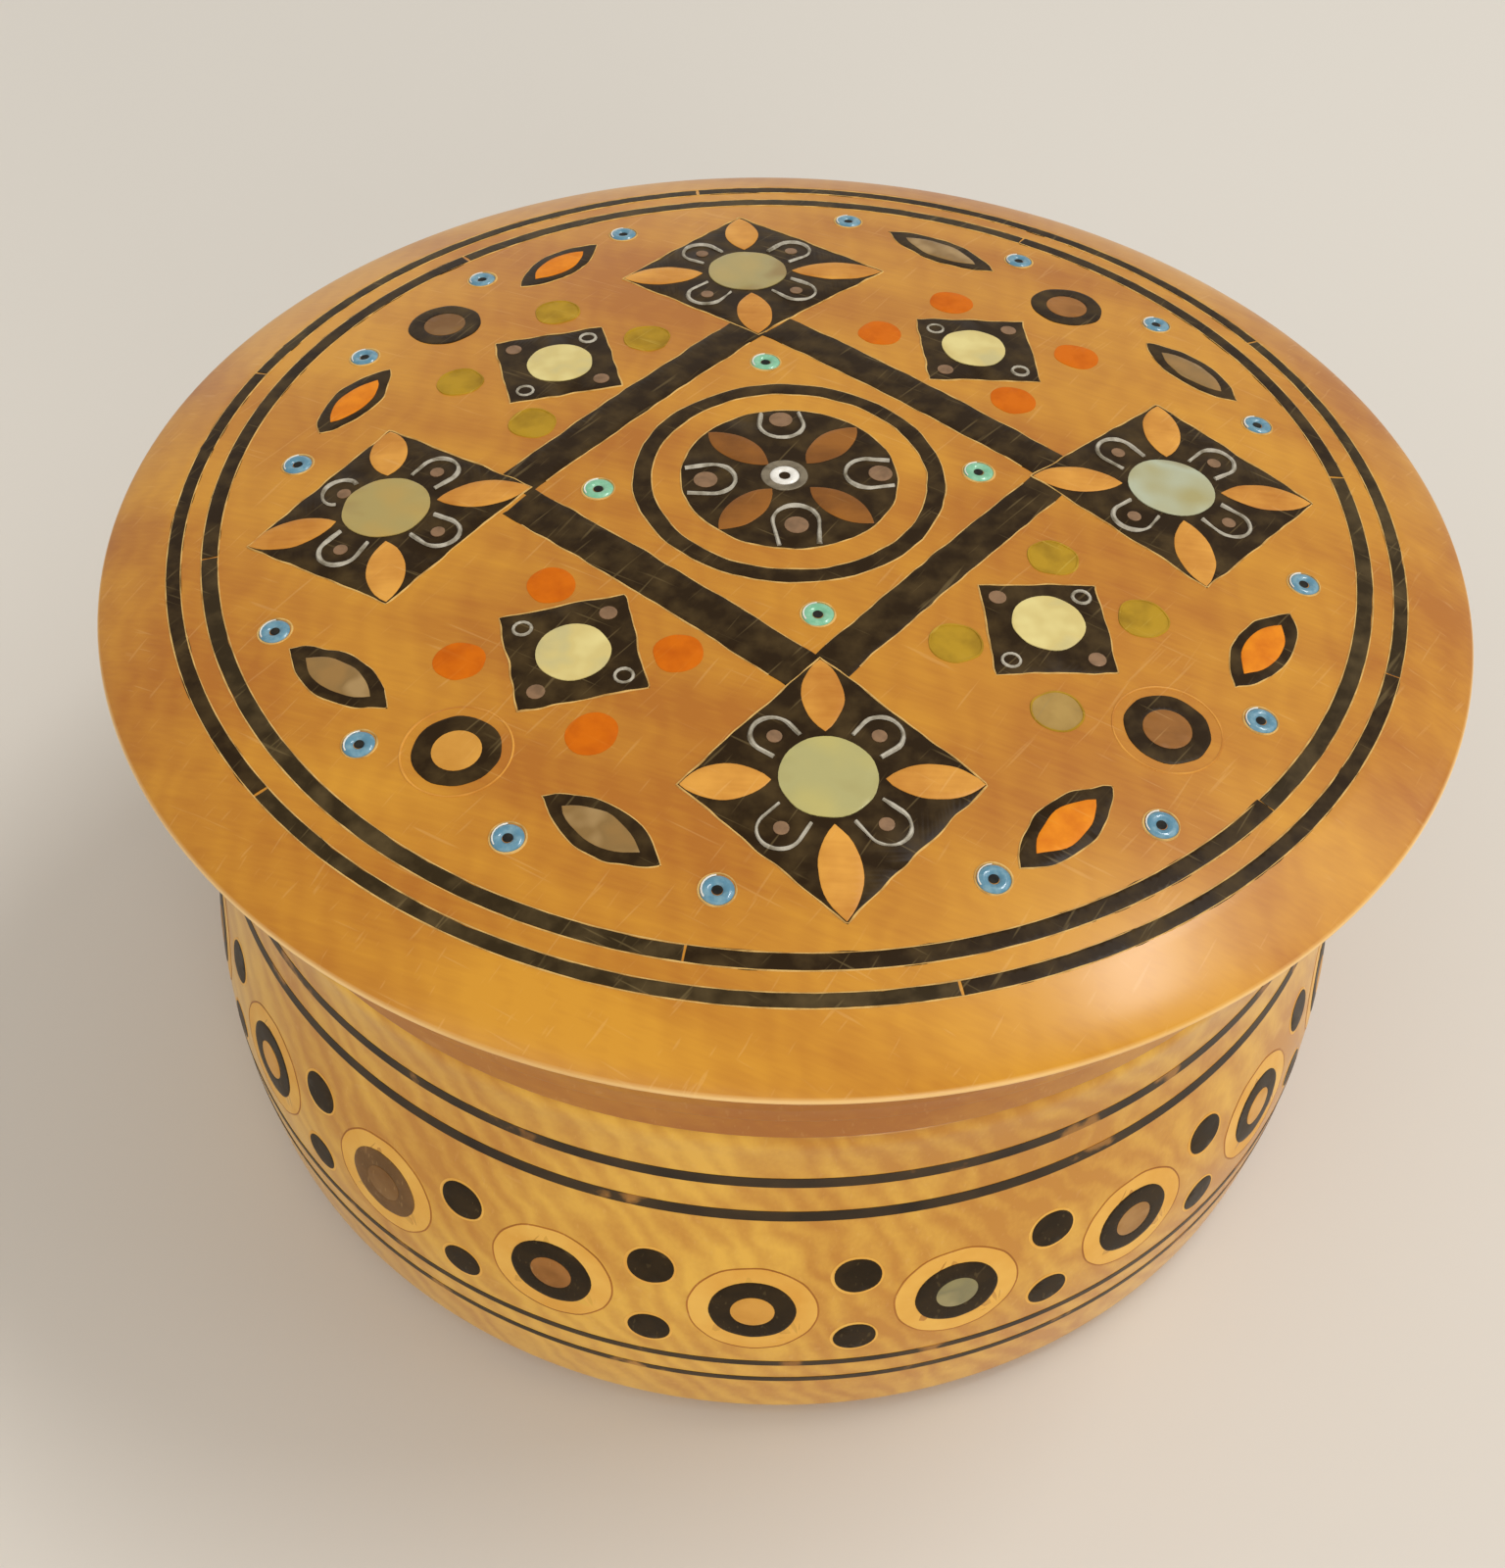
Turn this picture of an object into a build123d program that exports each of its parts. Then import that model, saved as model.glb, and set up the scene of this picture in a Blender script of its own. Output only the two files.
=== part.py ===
"""A turned wooden trinket box: a bellied bowl and a lift-off lid, both inlaid.

The lid is slightly domed. Ebony squares, bars and rings are let into it, and smaller pieces
of wood, mother-of-pearl and glass are let into the ebony. The bowl carries two turned lines
and a band of ringed roundels with pairs of dots between them. Every inlaid piece has a flat
top that stands a hair proud, and fills its pocket.

Millimetres, +Z up, origin at the centre of the foot. -Y is the front.
"""

import os
from math import asin, atan, cos, degrees, radians, sin, sqrt

from build123d import *

# The bowl, from the table up
foot_radius = 52.0
heel_radius = 55.5
heel_height = 2.2
belly_pull_radius = 59.0
belly_pull_height = 24.8
waist_pull_radius = 51.5
waist_pull_height = 28.8
mouth_radius = 53.3
seam_height = 43.1
bowl_wall = 4.3
bowl_floor = 5.0
bowl_corner = 9.0

# The lid's outside
lid_radius = 60.0
arris_height = 57.7
crown_height = 64.5
dome_edge_radius = 50.0
dome_rise = 3.5
shoulder_radius = 54.0
rim_pull_radius = 60.4
rim_pull_height = 58.3
cove_foot_height = 47.4
cove_depth = 2.2
collar_bead = 0.5
collar_bead_height = 1.2

# The lid's inside
fit_clearance = 0.3
spigot_height = 4.0
spigot_wall = 3.0
lid_top_wall = 7.0
lid_corner = 3.5

# How deep the pieces are let in
ground_depth = 1.6
inset_depth = 0.9
disc_depth = 1.2
line_depth = 0.8
proud = 0.05

# Hand-cut discs have flats all round, fewer on the small ones
large_disc_flats = 20
disc_flats = 10
small_disc_flats = 8
tiny_disc_flats = 6
oval_flats = 3

# The pattern stands turned on the lid
pattern_turn = 6.05

# Two ebony rings near the lid's edge, each pieced from strips with a glue gap
inner_ring_radius = 50.0
inner_ring_width = 1.4
outer_ring_radius = 53.1
outer_ring_width = 1.2
ring_strips = 6
glue_gap = 0.12

# Four rosettes: an ebony square on its corner, four petals and a pearl disc
rosette_distance = 34.3
rosette_half_diagonal = 12.4
rosette_shifts = (-2.2, 0.8, 0.8, 0.1)
rosette_turns = (-2.0, -1.0, 4.2, -2.4)
pearl_radius = 3.85
petal_start = 4.5
petal_length = 7.6
petal_width = 3.3

# Four ebony bars join the rosettes into a frame
frame_bar_inner_distance = 15.4
frame_bar_length = 32.0
frame_bar_widths = {"back_right": 3.9, "back_left": 3.8, "front_left": 4.1, "front_right": 3.5}

# The roundel in the middle
centre_ring_outer = 13.6
centre_ring_inner = 12.0
centre_disc_radius = 9.5
centre_petal_start = 2.3
centre_petal_length = 6.8
centre_petal_width = 3.0
collar_radius = 2.0
centre_bead_radius = 1.3

# Small ebony squares on the diagonals, with four coloured dots round each
square_distance = 27.4
square_side = 10.4
square_turns = (-1.0, 8.0, 8.0, 0.0)
square_pearl_radius = 3.0
dot_radius = 2.0
far_dot_distance = 33.9
far_dot_spread = 11.7
near_dot_distance = 24.2
near_dot_spread = 17.8

# Ringed eyes on the diagonals
eye_distance = 40.7
eye_shifts = (-2.2, 2.4, 0.0, -2.7)
eye_outer = 3.5
eye_inner = 1.95

# Pointed leaves in pairs beside each rosette
leaf_distance = 42.6
leaf_spreads_after = (23.0, 27.0, 27.0, 24.0)
leaf_spreads_before = (29.5, 26.0, 23.0, 25.5)
leaf_tilt = 15.0
leaf_length = 11.2
leaf_width = 4.5
leaf_insert_length = 7.0
leaf_insert_width = 2.7

# Glass beads set on end
bead_radius = 1.35
bead_depth = 1.3
green_bead_distance = 16.9
blue_bead_distance = 45.2
blue_bead_angles = (11, 33, 54, 77, 106, 127, 148, 170, 197, 217, 237, 258, 284, 302, 321, 343)

# The bowl's turned lines and its band of roundels
line_heights = {"upper": 36.4, "lower": 32.2}
line_width = 1.2
roundel_count = 20
roundel_first_angle = -145.1
roundel_height = 20.6
roundel_outer = 3.7
roundel_inner = 1.8
upper_dot_height = 24.9
lower_dot_height = 16.6
bowl_dot_radius = 2.0

# What each roundel's plug is made of, going round from the first
plug_woods = ("light", "brown", "brown", "light", "pearl", "brown", "light")

os.makedirs("parts", exist_ok=True)


def save(piece, name):
    """Label a finished piece and write it as its own file."""
    piece.label = name
    export_step(piece, f"parts/{name}.step")


def dome_height(radius):
    """Height of the lid's top at a distance from the axis: a shallow parabola."""
    return crown_height - dome_rise * (radius / dome_edge_radius) ** 2


def lid_plane(distance, angle, turn=0.0):
    """A plane that touches the dome, with x pointing away from the lid's centre."""
    x, y = distance * cos(radians(angle)), distance * sin(radians(angle))
    upright = Plane((x, y, dome_height(distance)), x_dir=(cos(radians(angle)), sin(radians(angle)), 0))
    lean = degrees(atan(2 * dome_rise * distance / dome_edge_radius**2))
    return upright.rotated((0, lean, 0)).rotated((0, 0, turn))


quarter_angles = [pattern_turn + 90 * i for i in range(4)]
diagonal_angles = [angle + 45 for angle in quarter_angles]


# Outlines that come back in several motifs, each drawn flat about its own centre
def pointed_oval(length, width):
    """Two equal bows that meet in points, each cut by hand in a few flats."""
    arc_radius = (length**2 + width**2) / (4 * width)
    half_turn = asin(length / 2 / arc_radius)
    turns = [half_turn * (2 * i / oval_flats - 1) for i in range(oval_flats + 1)]
    bow = [
        (arc_radius * sin(turn), arc_radius * cos(turn) - arc_radius + width / 2) for turn in turns
    ]
    with BuildSketch() as oval:
        with BuildLine():
            Polyline(*bow, *[(-x, -y) for x, y in bow[1:]])
        make_face()
    return oval.sketch


def hand_cut_disc(radius, flats=disc_flats):
    """A disc cut by hand, with flats all round."""
    with BuildSketch() as cut:
        RegularPolygon(radius, flats)
    return cut.sketch


def set_round(outline, distance, count, start_angle=0.0):
    """Copies of an outline on a circle, each facing outwards."""
    with BuildSketch() as copies:
        with PolarLocations(distance, count, start_angle=start_angle):
            add(outline)
    return copies.sketch


def sunk_in_lid(outline, planes, depth):
    """Prisms of an outline, one on each plane, from a depth in the lid to a hair above it."""
    with BuildPart() as prisms:
        for plane in planes:
            with BuildSketch(plane.offset(proud)):
                add(outline)
            extrude(amount=-depth - proud)
    return prisms.part


# The lid, before anything is let into it
inner_mouth_radius = mouth_radius - bowl_wall
spigot_outer = inner_mouth_radius - fit_clearance
spigot_inner = spigot_outer - spigot_wall
ceiling_height = crown_height - lid_top_wall
collar_bead_radius = mouth_radius + collar_bead

with BuildPart() as lid_blank:
    with BuildSketch(Plane.XZ):
        with BuildLine():
            shoulder = (shoulder_radius, dome_height(shoulder_radius))
            Bezier((0, crown_height), (shoulder_radius / 2, crown_height), shoulder)
            Bezier(shoulder, (rim_pull_radius, rim_pull_height), (lid_radius, arris_height))
            Bezier(
                (lid_radius, arris_height),
                (collar_bead_radius + cove_depth, arris_height - cove_depth),
                (collar_bead_radius, cove_foot_height),
            )
            Polyline(
                (collar_bead_radius, cove_foot_height),
                (collar_bead_radius, cove_foot_height - collar_bead_height),
                (mouth_radius, cove_foot_height - collar_bead_height - collar_bead),
                (mouth_radius, seam_height),
                (spigot_outer, seam_height),
                (spigot_outer, seam_height - spigot_height),
                (spigot_inner, seam_height - spigot_height),
                (spigot_inner, ceiling_height - lid_corner),
                (spigot_inner - lid_corner, ceiling_height),
                (0, ceiling_height),
                (0, crown_height),
            )
        make_face()
    revolve(axis=Axis.Z)

# The bowl, before anything is let into it
with BuildPart() as bowl_blank:
    with BuildSketch(Plane.XZ):
        with BuildLine():
            side = Bezier(
                (mouth_radius, seam_height),
                (waist_pull_radius, waist_pull_height),
                (belly_pull_radius, belly_pull_height),
                (heel_radius, heel_height),
            )
            Polyline(
                (heel_radius, heel_height),
                (foot_radius, 0),
                (0, 0),
                (0, bowl_floor),
                (inner_mouth_radius - bowl_corner, bowl_floor),
            )
            Polyline(
                (inner_mouth_radius - bowl_corner, bowl_floor),
                (inner_mouth_radius - bowl_corner / 3, bowl_floor + bowl_corner / 3),
                (inner_mouth_radius, bowl_floor + bowl_corner),
                (inner_mouth_radius, seam_height),
                (mouth_radius, seam_height),
            )
        make_face()
    revolve(axis=Axis.Z)


def bowl_plane(height):
    """A plane that touches the bowl's side at its +X end, with y pointing up the side."""
    low, high = 0.0, 1.0
    while high - low > 1e-7:
        middle = (low + high) / 2
        if (side @ middle).Y > height:
            low = middle
        else:
            high = middle
    run = side % low
    return Plane(((side @ low).X, 0, height), x_dir=(0, 1, 0), z_dir=(-run.Y, 0, run.X))


def sunk_in_bowl(outline, height):
    """A prism of an outline in the bowl's side at its +X end."""
    with BuildPart() as prism:
        with BuildSketch(bowl_plane(height).offset(proud)):
            add(outline)
        extrude(amount=-disc_depth - proud)
    return prism.part


def round_bowl(piece, angles):
    """Copies of a piece at the bowl's +X end, one at each angle round the bowl."""
    with BuildPart() as copies:
        for angle in angles:
            with PolarLocations(0, 1, start_angle=angle):
                add(piece)
    return copies.part


# The two ebony rings
ring_strip_sets = {}
for name, radius, width in (
    ("inner_ring", inner_ring_radius, inner_ring_width),
    ("outer_ring", outer_ring_radius, outer_ring_width),
):
    inside, outside = radius - width / 2, radius + width / 2
    floor = dome_height(outside) - line_depth
    strip_angle = 360 / ring_strips - degrees(glue_gap / radius)
    with BuildPart() as one_strip:
        with BuildSketch(Plane.XZ):
            with BuildLine():
                Polyline(
                    (inside, floor),
                    (outside, floor),
                    (outside, dome_height(outside) + proud),
                    (inside, dome_height(inside) + proud),
                    close=True,
                )
            make_face()
        revolve(axis=Axis.Z, revolution_arc=strip_angle)
    with BuildPart() as strips:
        with PolarLocations(0, ring_strips):
            add(one_strip.part)
    ring_strip_sets[name] = strips.part
    save(strips.part, name)

# The rosettes
rosette_planes = [
    lid_plane(rosette_distance, angle + shift, turn)
    for angle, shift, turn in zip(quarter_angles, rosette_shifts, rosette_turns)
]
with BuildSketch() as rosette_outline:
    Rectangle(rosette_half_diagonal * sqrt(2), rosette_half_diagonal * sqrt(2), rotation=45)
petal_outlines = set_round(
    pointed_oval(petal_length, petal_width), petal_start + petal_length / 2, 4
)
rosette_tiles = sunk_in_lid(rosette_outline.sketch, rosette_planes, ground_depth)
rosette_petals = sunk_in_lid(petal_outlines, rosette_planes, inset_depth)
rosette_pearls = sunk_in_lid(hand_cut_disc(pearl_radius), rosette_planes, inset_depth)

with BuildPart() as rosette_grounds:
    add(rosette_tiles)
    add(rosette_petals, mode=Mode.SUBTRACT)
    add(rosette_pearls, mode=Mode.SUBTRACT)
save(rosette_grounds.part, "rosette_grounds")
save(rosette_petals, "rosette_petals")
save(rosette_pearls, "rosette_pearls")

# The frame's bars, each butting on the sides of two rosettes and on the bar laid before it
frame_bars = []
for (corner, width), angle in zip(frame_bar_widths.items(), diagonal_angles):
    with BuildSketch() as bar_outline:
        Rectangle(width, frame_bar_length)
    bar_plane = lid_plane(frame_bar_inner_distance + width / 2, angle)
    with BuildPart() as frame_bar:
        add(sunk_in_lid(bar_outline.sketch, [bar_plane], ground_depth))
        for laid_before in (rosette_tiles, *frame_bars):
            add(laid_before, mode=Mode.SUBTRACT)
    frame_bars.append(frame_bar.part)
    save(frame_bar.part, f"frame_bar_{corner}")

# The roundel in the middle
middle = [lid_plane(0, pattern_turn)]
with BuildSketch() as centre_ring_outline:
    RegularPolygon(centre_ring_outer, large_disc_flats)
    RegularPolygon(centre_ring_inner, large_disc_flats, mode=Mode.SUBTRACT)
centre_petal_outlines = set_round(
    pointed_oval(centre_petal_length, centre_petal_width),
    centre_petal_start + centre_petal_length / 2,
    4,
    start_angle=45,
)
centre_ring = sunk_in_lid(centre_ring_outline.sketch, middle, disc_depth)
centre_tile = sunk_in_lid(
    hand_cut_disc(centre_disc_radius, large_disc_flats), middle, ground_depth
)
centre_petals = sunk_in_lid(centre_petal_outlines, middle, inset_depth)
collar_tile = sunk_in_lid(hand_cut_disc(collar_radius), middle, disc_depth)
centre_bead = sunk_in_lid(hand_cut_disc(centre_bead_radius, small_disc_flats), middle, disc_depth)

with BuildPart() as centre_disc:
    add(centre_tile)
    add(centre_petals, mode=Mode.SUBTRACT)
    add(collar_tile, mode=Mode.SUBTRACT)
with BuildPart() as centre_collar:
    add(collar_tile)
    add(centre_bead, mode=Mode.SUBTRACT)
save(centre_ring, "centre_ring")
save(centre_disc.part, "centre_disc")
save(centre_petals, "centre_petals")
save(centre_collar.part, "centre_collar")
save(centre_bead, "centre_bead")

# The small squares
square_planes = [
    lid_plane(square_distance, angle, turn - 45)
    for angle, turn in zip(diagonal_angles, square_turns)
]
with BuildSketch() as square_outline:
    Rectangle(square_side, square_side)
square_tiles = sunk_in_lid(square_outline.sketch, square_planes, ground_depth)
square_pearls = sunk_in_lid(hand_cut_disc(square_pearl_radius), square_planes, inset_depth)

with BuildPart() as square_grounds:
    add(square_tiles)
    add(square_pearls, mode=Mode.SUBTRACT)
save(square_grounds.part, "square_grounds")
save(square_pearls, "square_pearls")

# The coloured dots round the small squares, orange and olive by turns
dots = {}
for colour, angles in (("orange", diagonal_angles[0::2]), ("olive", diagonal_angles[1::2])):
    dot_planes = [
        lid_plane(distance, angle + spread * side_sign)
        for angle in angles
        for distance, spread in (
            (far_dot_distance, far_dot_spread),
            (near_dot_distance, near_dot_spread),
        )
        for side_sign in (-1, 1)
    ]
    dots[colour] = sunk_in_lid(
        hand_cut_disc(dot_radius, tiny_disc_flats), dot_planes, disc_depth
    )
    save(dots[colour], f"{colour}_dots")

# The ringed eyes
eye_planes = [
    lid_plane(eye_distance, angle + shift) for angle, shift in zip(diagonal_angles, eye_shifts)
]
eye_tiles = sunk_in_lid(hand_cut_disc(eye_outer), eye_planes, disc_depth)
eye_plugs = sunk_in_lid(hand_cut_disc(eye_inner, small_disc_flats), eye_planes, disc_depth)

with BuildPart() as eye_rings:
    add(eye_tiles)
    add(eye_plugs, mode=Mode.SUBTRACT)
save(eye_rings.part, "eye_rings")
save(eye_plugs, "eye_plugs")

# The leaves: an ebony border and an insert of orange composition or mother-of-pearl
leaf_outline = pointed_oval(leaf_length, leaf_width)
leaf_insert_outline = pointed_oval(leaf_insert_length, leaf_insert_width)
after_planes = [
    lid_plane(leaf_distance, angle + spread, 90 + leaf_tilt)
    for angle, spread in zip(quarter_angles, leaf_spreads_after)
]
before_planes = [
    lid_plane(leaf_distance, angle - spread, 90 - leaf_tilt)
    for angle, spread in zip(quarter_angles, leaf_spreads_before)
]
leaf_tiles = sunk_in_lid(leaf_outline, after_planes + before_planes, disc_depth)
pearl_leaves = sunk_in_lid(
    leaf_insert_outline, after_planes[0::2] + before_planes[1::2], disc_depth
)
orange_leaves = sunk_in_lid(
    leaf_insert_outline, after_planes[1::2] + before_planes[0::2], disc_depth
)

with BuildPart() as leaf_borders:
    add(leaf_tiles)
    add(pearl_leaves, mode=Mode.SUBTRACT)
    add(orange_leaves, mode=Mode.SUBTRACT)
save(leaf_borders.part, "leaf_borders")
save(pearl_leaves, "pearl_leaves")
save(orange_leaves, "orange_leaves")

# The glass beads
bead_outline = hand_cut_disc(bead_radius, tiny_disc_flats)
green_beads = sunk_in_lid(
    bead_outline, [lid_plane(green_bead_distance, angle) for angle in quarter_angles], bead_depth
)
blue_beads = sunk_in_lid(
    bead_outline,
    [lid_plane(blue_bead_distance, pattern_turn + angle) for angle in blue_bead_angles],
    bead_depth,
)
save(green_beads, "green_beads")
save(blue_beads, "blue_beads")

# The finished lid, with a pocket for every piece
with BuildPart() as lid:
    add(lid_blank.part)
    for pieces in (
        *ring_strip_sets.values(),
        rosette_tiles,
        *frame_bars,
        centre_ring,
        centre_tile,
        square_tiles,
        *dots.values(),
        eye_tiles,
        leaf_tiles,
        green_beads,
        blue_beads,
    ):
        add(pieces, mode=Mode.SUBTRACT)
save(lid.part, "lid")

# The bowl's roundels and dots
roundel_angles = [roundel_first_angle + 360 / roundel_count * i for i in range(roundel_count)]
between_angles = [angle + 180 / roundel_count for angle in roundel_angles]
roundel_tile = sunk_in_bowl(hand_cut_disc(roundel_outer, small_disc_flats), roundel_height)
plug = sunk_in_bowl(hand_cut_disc(roundel_inner, tiny_disc_flats), roundel_height)
dot_outline = hand_cut_disc(bowl_dot_radius, tiny_disc_flats)

with BuildPart() as one_ring:
    add(roundel_tile)
    add(plug, mode=Mode.SUBTRACT)
save(round_bowl(one_ring.part, roundel_angles), "roundel_rings")

for wood in ("light", "brown", "pearl"):
    wood_angles = [
        angle for i, angle in enumerate(roundel_angles) if plug_woods[i % len(plug_woods)] == wood
    ]
    save(round_bowl(plug, wood_angles), f"{wood}_plugs")

with BuildPart() as bowl_dots:
    for height in (upper_dot_height, lower_dot_height):
        add(round_bowl(sunk_in_bowl(dot_outline, height), between_angles))
save(bowl_dots.part, "bowl_dots")

# The bowl's turned lines
lines = []
for row, height in line_heights.items():
    above = bowl_plane(height + line_width / 2).origin
    below = bowl_plane(height - line_width / 2).origin
    back = min(above.X, below.X) - line_depth
    with BuildPart() as line:
        with BuildSketch(Plane.XZ):
            with BuildLine():
                Polyline(
                    (back, above.Z),
                    (above.X + proud, above.Z),
                    (below.X + proud, below.Z),
                    (back, below.Z),
                    close=True,
                )
            make_face()
        revolve(axis=Axis.Z)
    lines.append(line.part)
    save(line.part, f"{row}_line")

# The finished bowl
with BuildPart() as bowl:
    add(bowl_blank.part)
    add(round_bowl(roundel_tile, roundel_angles), mode=Mode.SUBTRACT)
    add(bowl_dots.part, mode=Mode.SUBTRACT)
    for line_piece in lines:
        add(line_piece, mode=Mode.SUBTRACT)
save(bowl.part, "bowl")
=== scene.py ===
# %% [markdown]
# # A turned and inlaid trinket box
# The box is two turned pieces of wood, a bellied bowl and a lift-off lid. Small pieces of
# ebony, mother-of-pearl, coloured composition and glass are let into both, flush with the
# surface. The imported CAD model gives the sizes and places. This lesson dresses it: smooth
# turned surfaces, hand-cut inlay with its glue lines, bent wires, and worn varnish.

# %% Load the frame
from math import atan2, cos, hypot, pi, radians, sin, sqrt

import bmesh
import bpy
from mathutils import Matrix, Vector, noise


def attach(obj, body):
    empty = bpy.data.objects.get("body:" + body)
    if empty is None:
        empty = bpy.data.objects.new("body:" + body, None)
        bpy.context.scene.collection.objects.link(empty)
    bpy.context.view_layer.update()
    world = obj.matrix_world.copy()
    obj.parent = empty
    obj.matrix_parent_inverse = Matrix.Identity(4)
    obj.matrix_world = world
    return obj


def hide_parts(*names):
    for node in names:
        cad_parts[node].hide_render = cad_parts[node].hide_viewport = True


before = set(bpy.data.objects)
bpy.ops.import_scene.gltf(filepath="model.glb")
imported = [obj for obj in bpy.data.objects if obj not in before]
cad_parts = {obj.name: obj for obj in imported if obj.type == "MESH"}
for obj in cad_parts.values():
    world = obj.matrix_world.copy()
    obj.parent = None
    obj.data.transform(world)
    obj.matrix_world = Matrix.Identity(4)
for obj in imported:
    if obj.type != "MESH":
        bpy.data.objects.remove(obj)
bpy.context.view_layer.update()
MM = 0.001
scene = bpy.context.scene


def new_object(name, data):
    """Put new data in the scene as an object."""
    made_object = bpy.data.objects.new(name, data)
    scene.collection.objects.link(made_object)
    return made_object


# %% [markdown]
# ## The camera
# The photograph was taken from in front and above, about 47 degrees up, with the camera turned
# slightly. The camera here stands where a fit to the lid's two rings and the pattern's corners
# put it.

# %% Camera
camera_height_angle = radians(47.40)
camera_roll = radians(1.76)
back = Vector((0, -cos(camera_height_angle), sin(camera_height_angle)))
right = Vector((1, 0, 0))
up = back.cross(right)
camera_right = right * cos(camera_roll) + up * sin(camera_roll)
camera_up = up * cos(camera_roll) - right * sin(camera_roll)

camera_data = bpy.data.cameras.new("camera")
camera_data.sensor_width = 36
camera_data.lens = 46.51
camera_data.clip_start = 0.01
camera = new_object("camera", camera_data)
turn = Matrix((camera_right, camera_up, back)).transposed().to_4x4()
camera.matrix_world = Matrix.Translation((-0.00242, -0.13859, 0.17599)) @ turn
scene.camera = camera

# %% [markdown]
# ## A short way to write nodes
# Both materials and Geometry Nodes are trees. One helper adds a node, sets its options and
# fills its sockets with values or with links, so that each tree reads from top to bottom.


# %% Node helpers
def fill(tree, sockets, values):
    """Fill sockets. Each takes a value or another node's output socket."""
    for key, value in values.items():
        if isinstance(value, bpy.types.NodeSocket):
            tree.links.new(value, sockets[key])
        else:
            sockets[key].default_value = value


def node(tree, kind, inputs=None, **options):
    """Add a node. A short kind, such as TexNoise or SetPosition, is one of the tree's own kind."""
    own = "GeometryNode" if tree.type == "GEOMETRY" else "ShaderNode"
    new = tree.nodes.new(kind if "Node" in kind else own + kind)
    for key, value in options.items():
        setattr(new, key, value)
    fill(tree, new.inputs, inputs or {})
    return new


def made(tree, kind, inputs=None, **options):
    """Add a node and give back its first output socket."""
    return node(tree, kind, inputs, **options).outputs[0]


def maths(tree, operation, first, second=0.0, clamp=False):
    """One step of arithmetic, as an output socket."""
    return made(tree, "ShaderNodeMath", {0: first, 1: second}, operation=operation, use_clamp=clamp)


def mix_colour(tree, amount, first, second):
    """Blend two colours, as an output socket."""
    return node(tree, "ShaderNodeMix", {0: amount, 6: first, 7: second}, data_type="RGBA").outputs[2]


def between(tree, value, low, high, out_low=0.0, out_high=1.0):
    """Stretch a value from one range to another, held at the ends."""
    ends = {"From Min": low, "From Max": high, "To Min": out_low, "To Max": out_high}
    return made(tree, "MapRange", {"Value": value, **ends}, clamp=True)


def object_place(tree):
    """Object coordinates, as an output socket."""
    return node(tree, "TexCoord").outputs["Object"]


def cloud(tree, place, scale, detail=2.0):
    """Smooth noise at a place, as an output socket."""
    return made(tree, "TexNoise", {"Vector": place, "Scale": scale, "Detail": detail})


def mapped(tree, place, **moves):
    """A place turned, moved or stretched, as an output socket."""
    values = {key.capitalize(): value for key, value in moves.items()}
    return made(tree, "Mapping", {"Vector": place, **values})


def colour(red, green, blue):
    """A screen colour, 0 to 255, as the linear colour that a shader works in."""
    linear = [((c / 255 + 0.055) / 1.055) ** 2.4 if c > 10 else c / 255 / 12.92 for c in (red, green, blue)]
    return (*linear, 1.0)


def new_tree(name, kind, sockets_in, sockets_out):
    """A node group with named inputs and outputs. Returns the tree and its two end nodes."""
    tree = bpy.data.node_groups.new(name, kind)
    for label, socket_type, *default in sockets_in:
        socket = tree.interface.new_socket(label, in_out="INPUT", socket_type="NodeSocket" + socket_type)
        if default:
            socket.default_value = default[0]
    for label, socket_type in sockets_out:
        tree.interface.new_socket(label, in_out="OUTPUT", socket_type="NodeSocket" + socket_type)
    return tree, tree.nodes.new("NodeGroupInput").outputs, tree.nodes.new("NodeGroupOutput").inputs


def dressed(tree, pieces, material, output):
    """End a tree: make its copies real and give them their material."""
    pieces = made(tree, "RealizeInstances", {"Geometry": pieces})
    pieces = made(tree, "SetMaterial", {"Geometry": pieces, "Material": material})
    tree.links.new(pieces, output)


# %% [markdown]
# ## The wood
# Close-grained wood under worn varnish shows three things: fine fibres along the grain, broad
# patches where the varnish has gone deeper or paler, and on the bowl a ripple across the grain
# that woodworkers call curl. One node group makes them all, so the lid, the bowl, the petals and
# the plugs differ only in their values.

# %% Group: figured wood
figure, f_in, f_out = new_tree(
    "figured wood", "ShaderNodeTree",
    [
        ("Pale", "Color"), ("Deep", "Color"), ("Grain Turn", "Float", 0.0), ("Patch Size", "Float", 30.0),
        ("Curl", "Float", 0.0), ("Fleck", "Float", 0.3),
    ],
    [("Color", "Color"), ("Height", "Float"), ("Patch", "Float")],
)
place = object_place(figure)
grain_turn = made(figure, "CombineXYZ", {"Z": f_in["Grain Turn"]})
along = mapped(figure, place, rotation=grain_turn)
fibre = cloud(figure, mapped(figure, along, scale=(260, 2600, 1800)), 1.0, 5.0)
streak = cloud(figure, mapped(figure, along, scale=(14, 130, 130)), 1.0, 4.0)
patch = cloud(figure, place, f_in["Patch Size"], 3.0)
curl_place = mapped(figure, place, rotation=(0.0, radians(32), 0.0))
ripple = {"Scale": 118.0, "Distortion": 7.0, "Detail": 2.0, "Detail Scale": 1.4}
curl = node(figure, "TexWave", {"Vector": curl_place, **ripple}).outputs["Fac"]
curl_part = maths(figure, "MULTIPLY", maths(figure, "SUBTRACT", curl, 0.5), f_in["Curl"])
fleck_part = maths(figure, "MULTIPLY", maths(figure, "SUBTRACT", fibre, 0.5), f_in["Fleck"])
broad = maths(figure, "ADD", maths(figure, "MULTIPLY", patch, 0.9), maths(figure, "MULTIPLY", streak, 0.6))
depth = maths(figure, "ADD", between(figure, broad, 0.58, 0.92), maths(figure, "ADD", curl_part, fleck_part))
depth = maths(figure, "ADD", depth, 0.0, clamp=True)
figure.links.new(mix_colour(figure, depth, f_in["Pale"], f_in["Deep"]), f_out["Color"])
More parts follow.
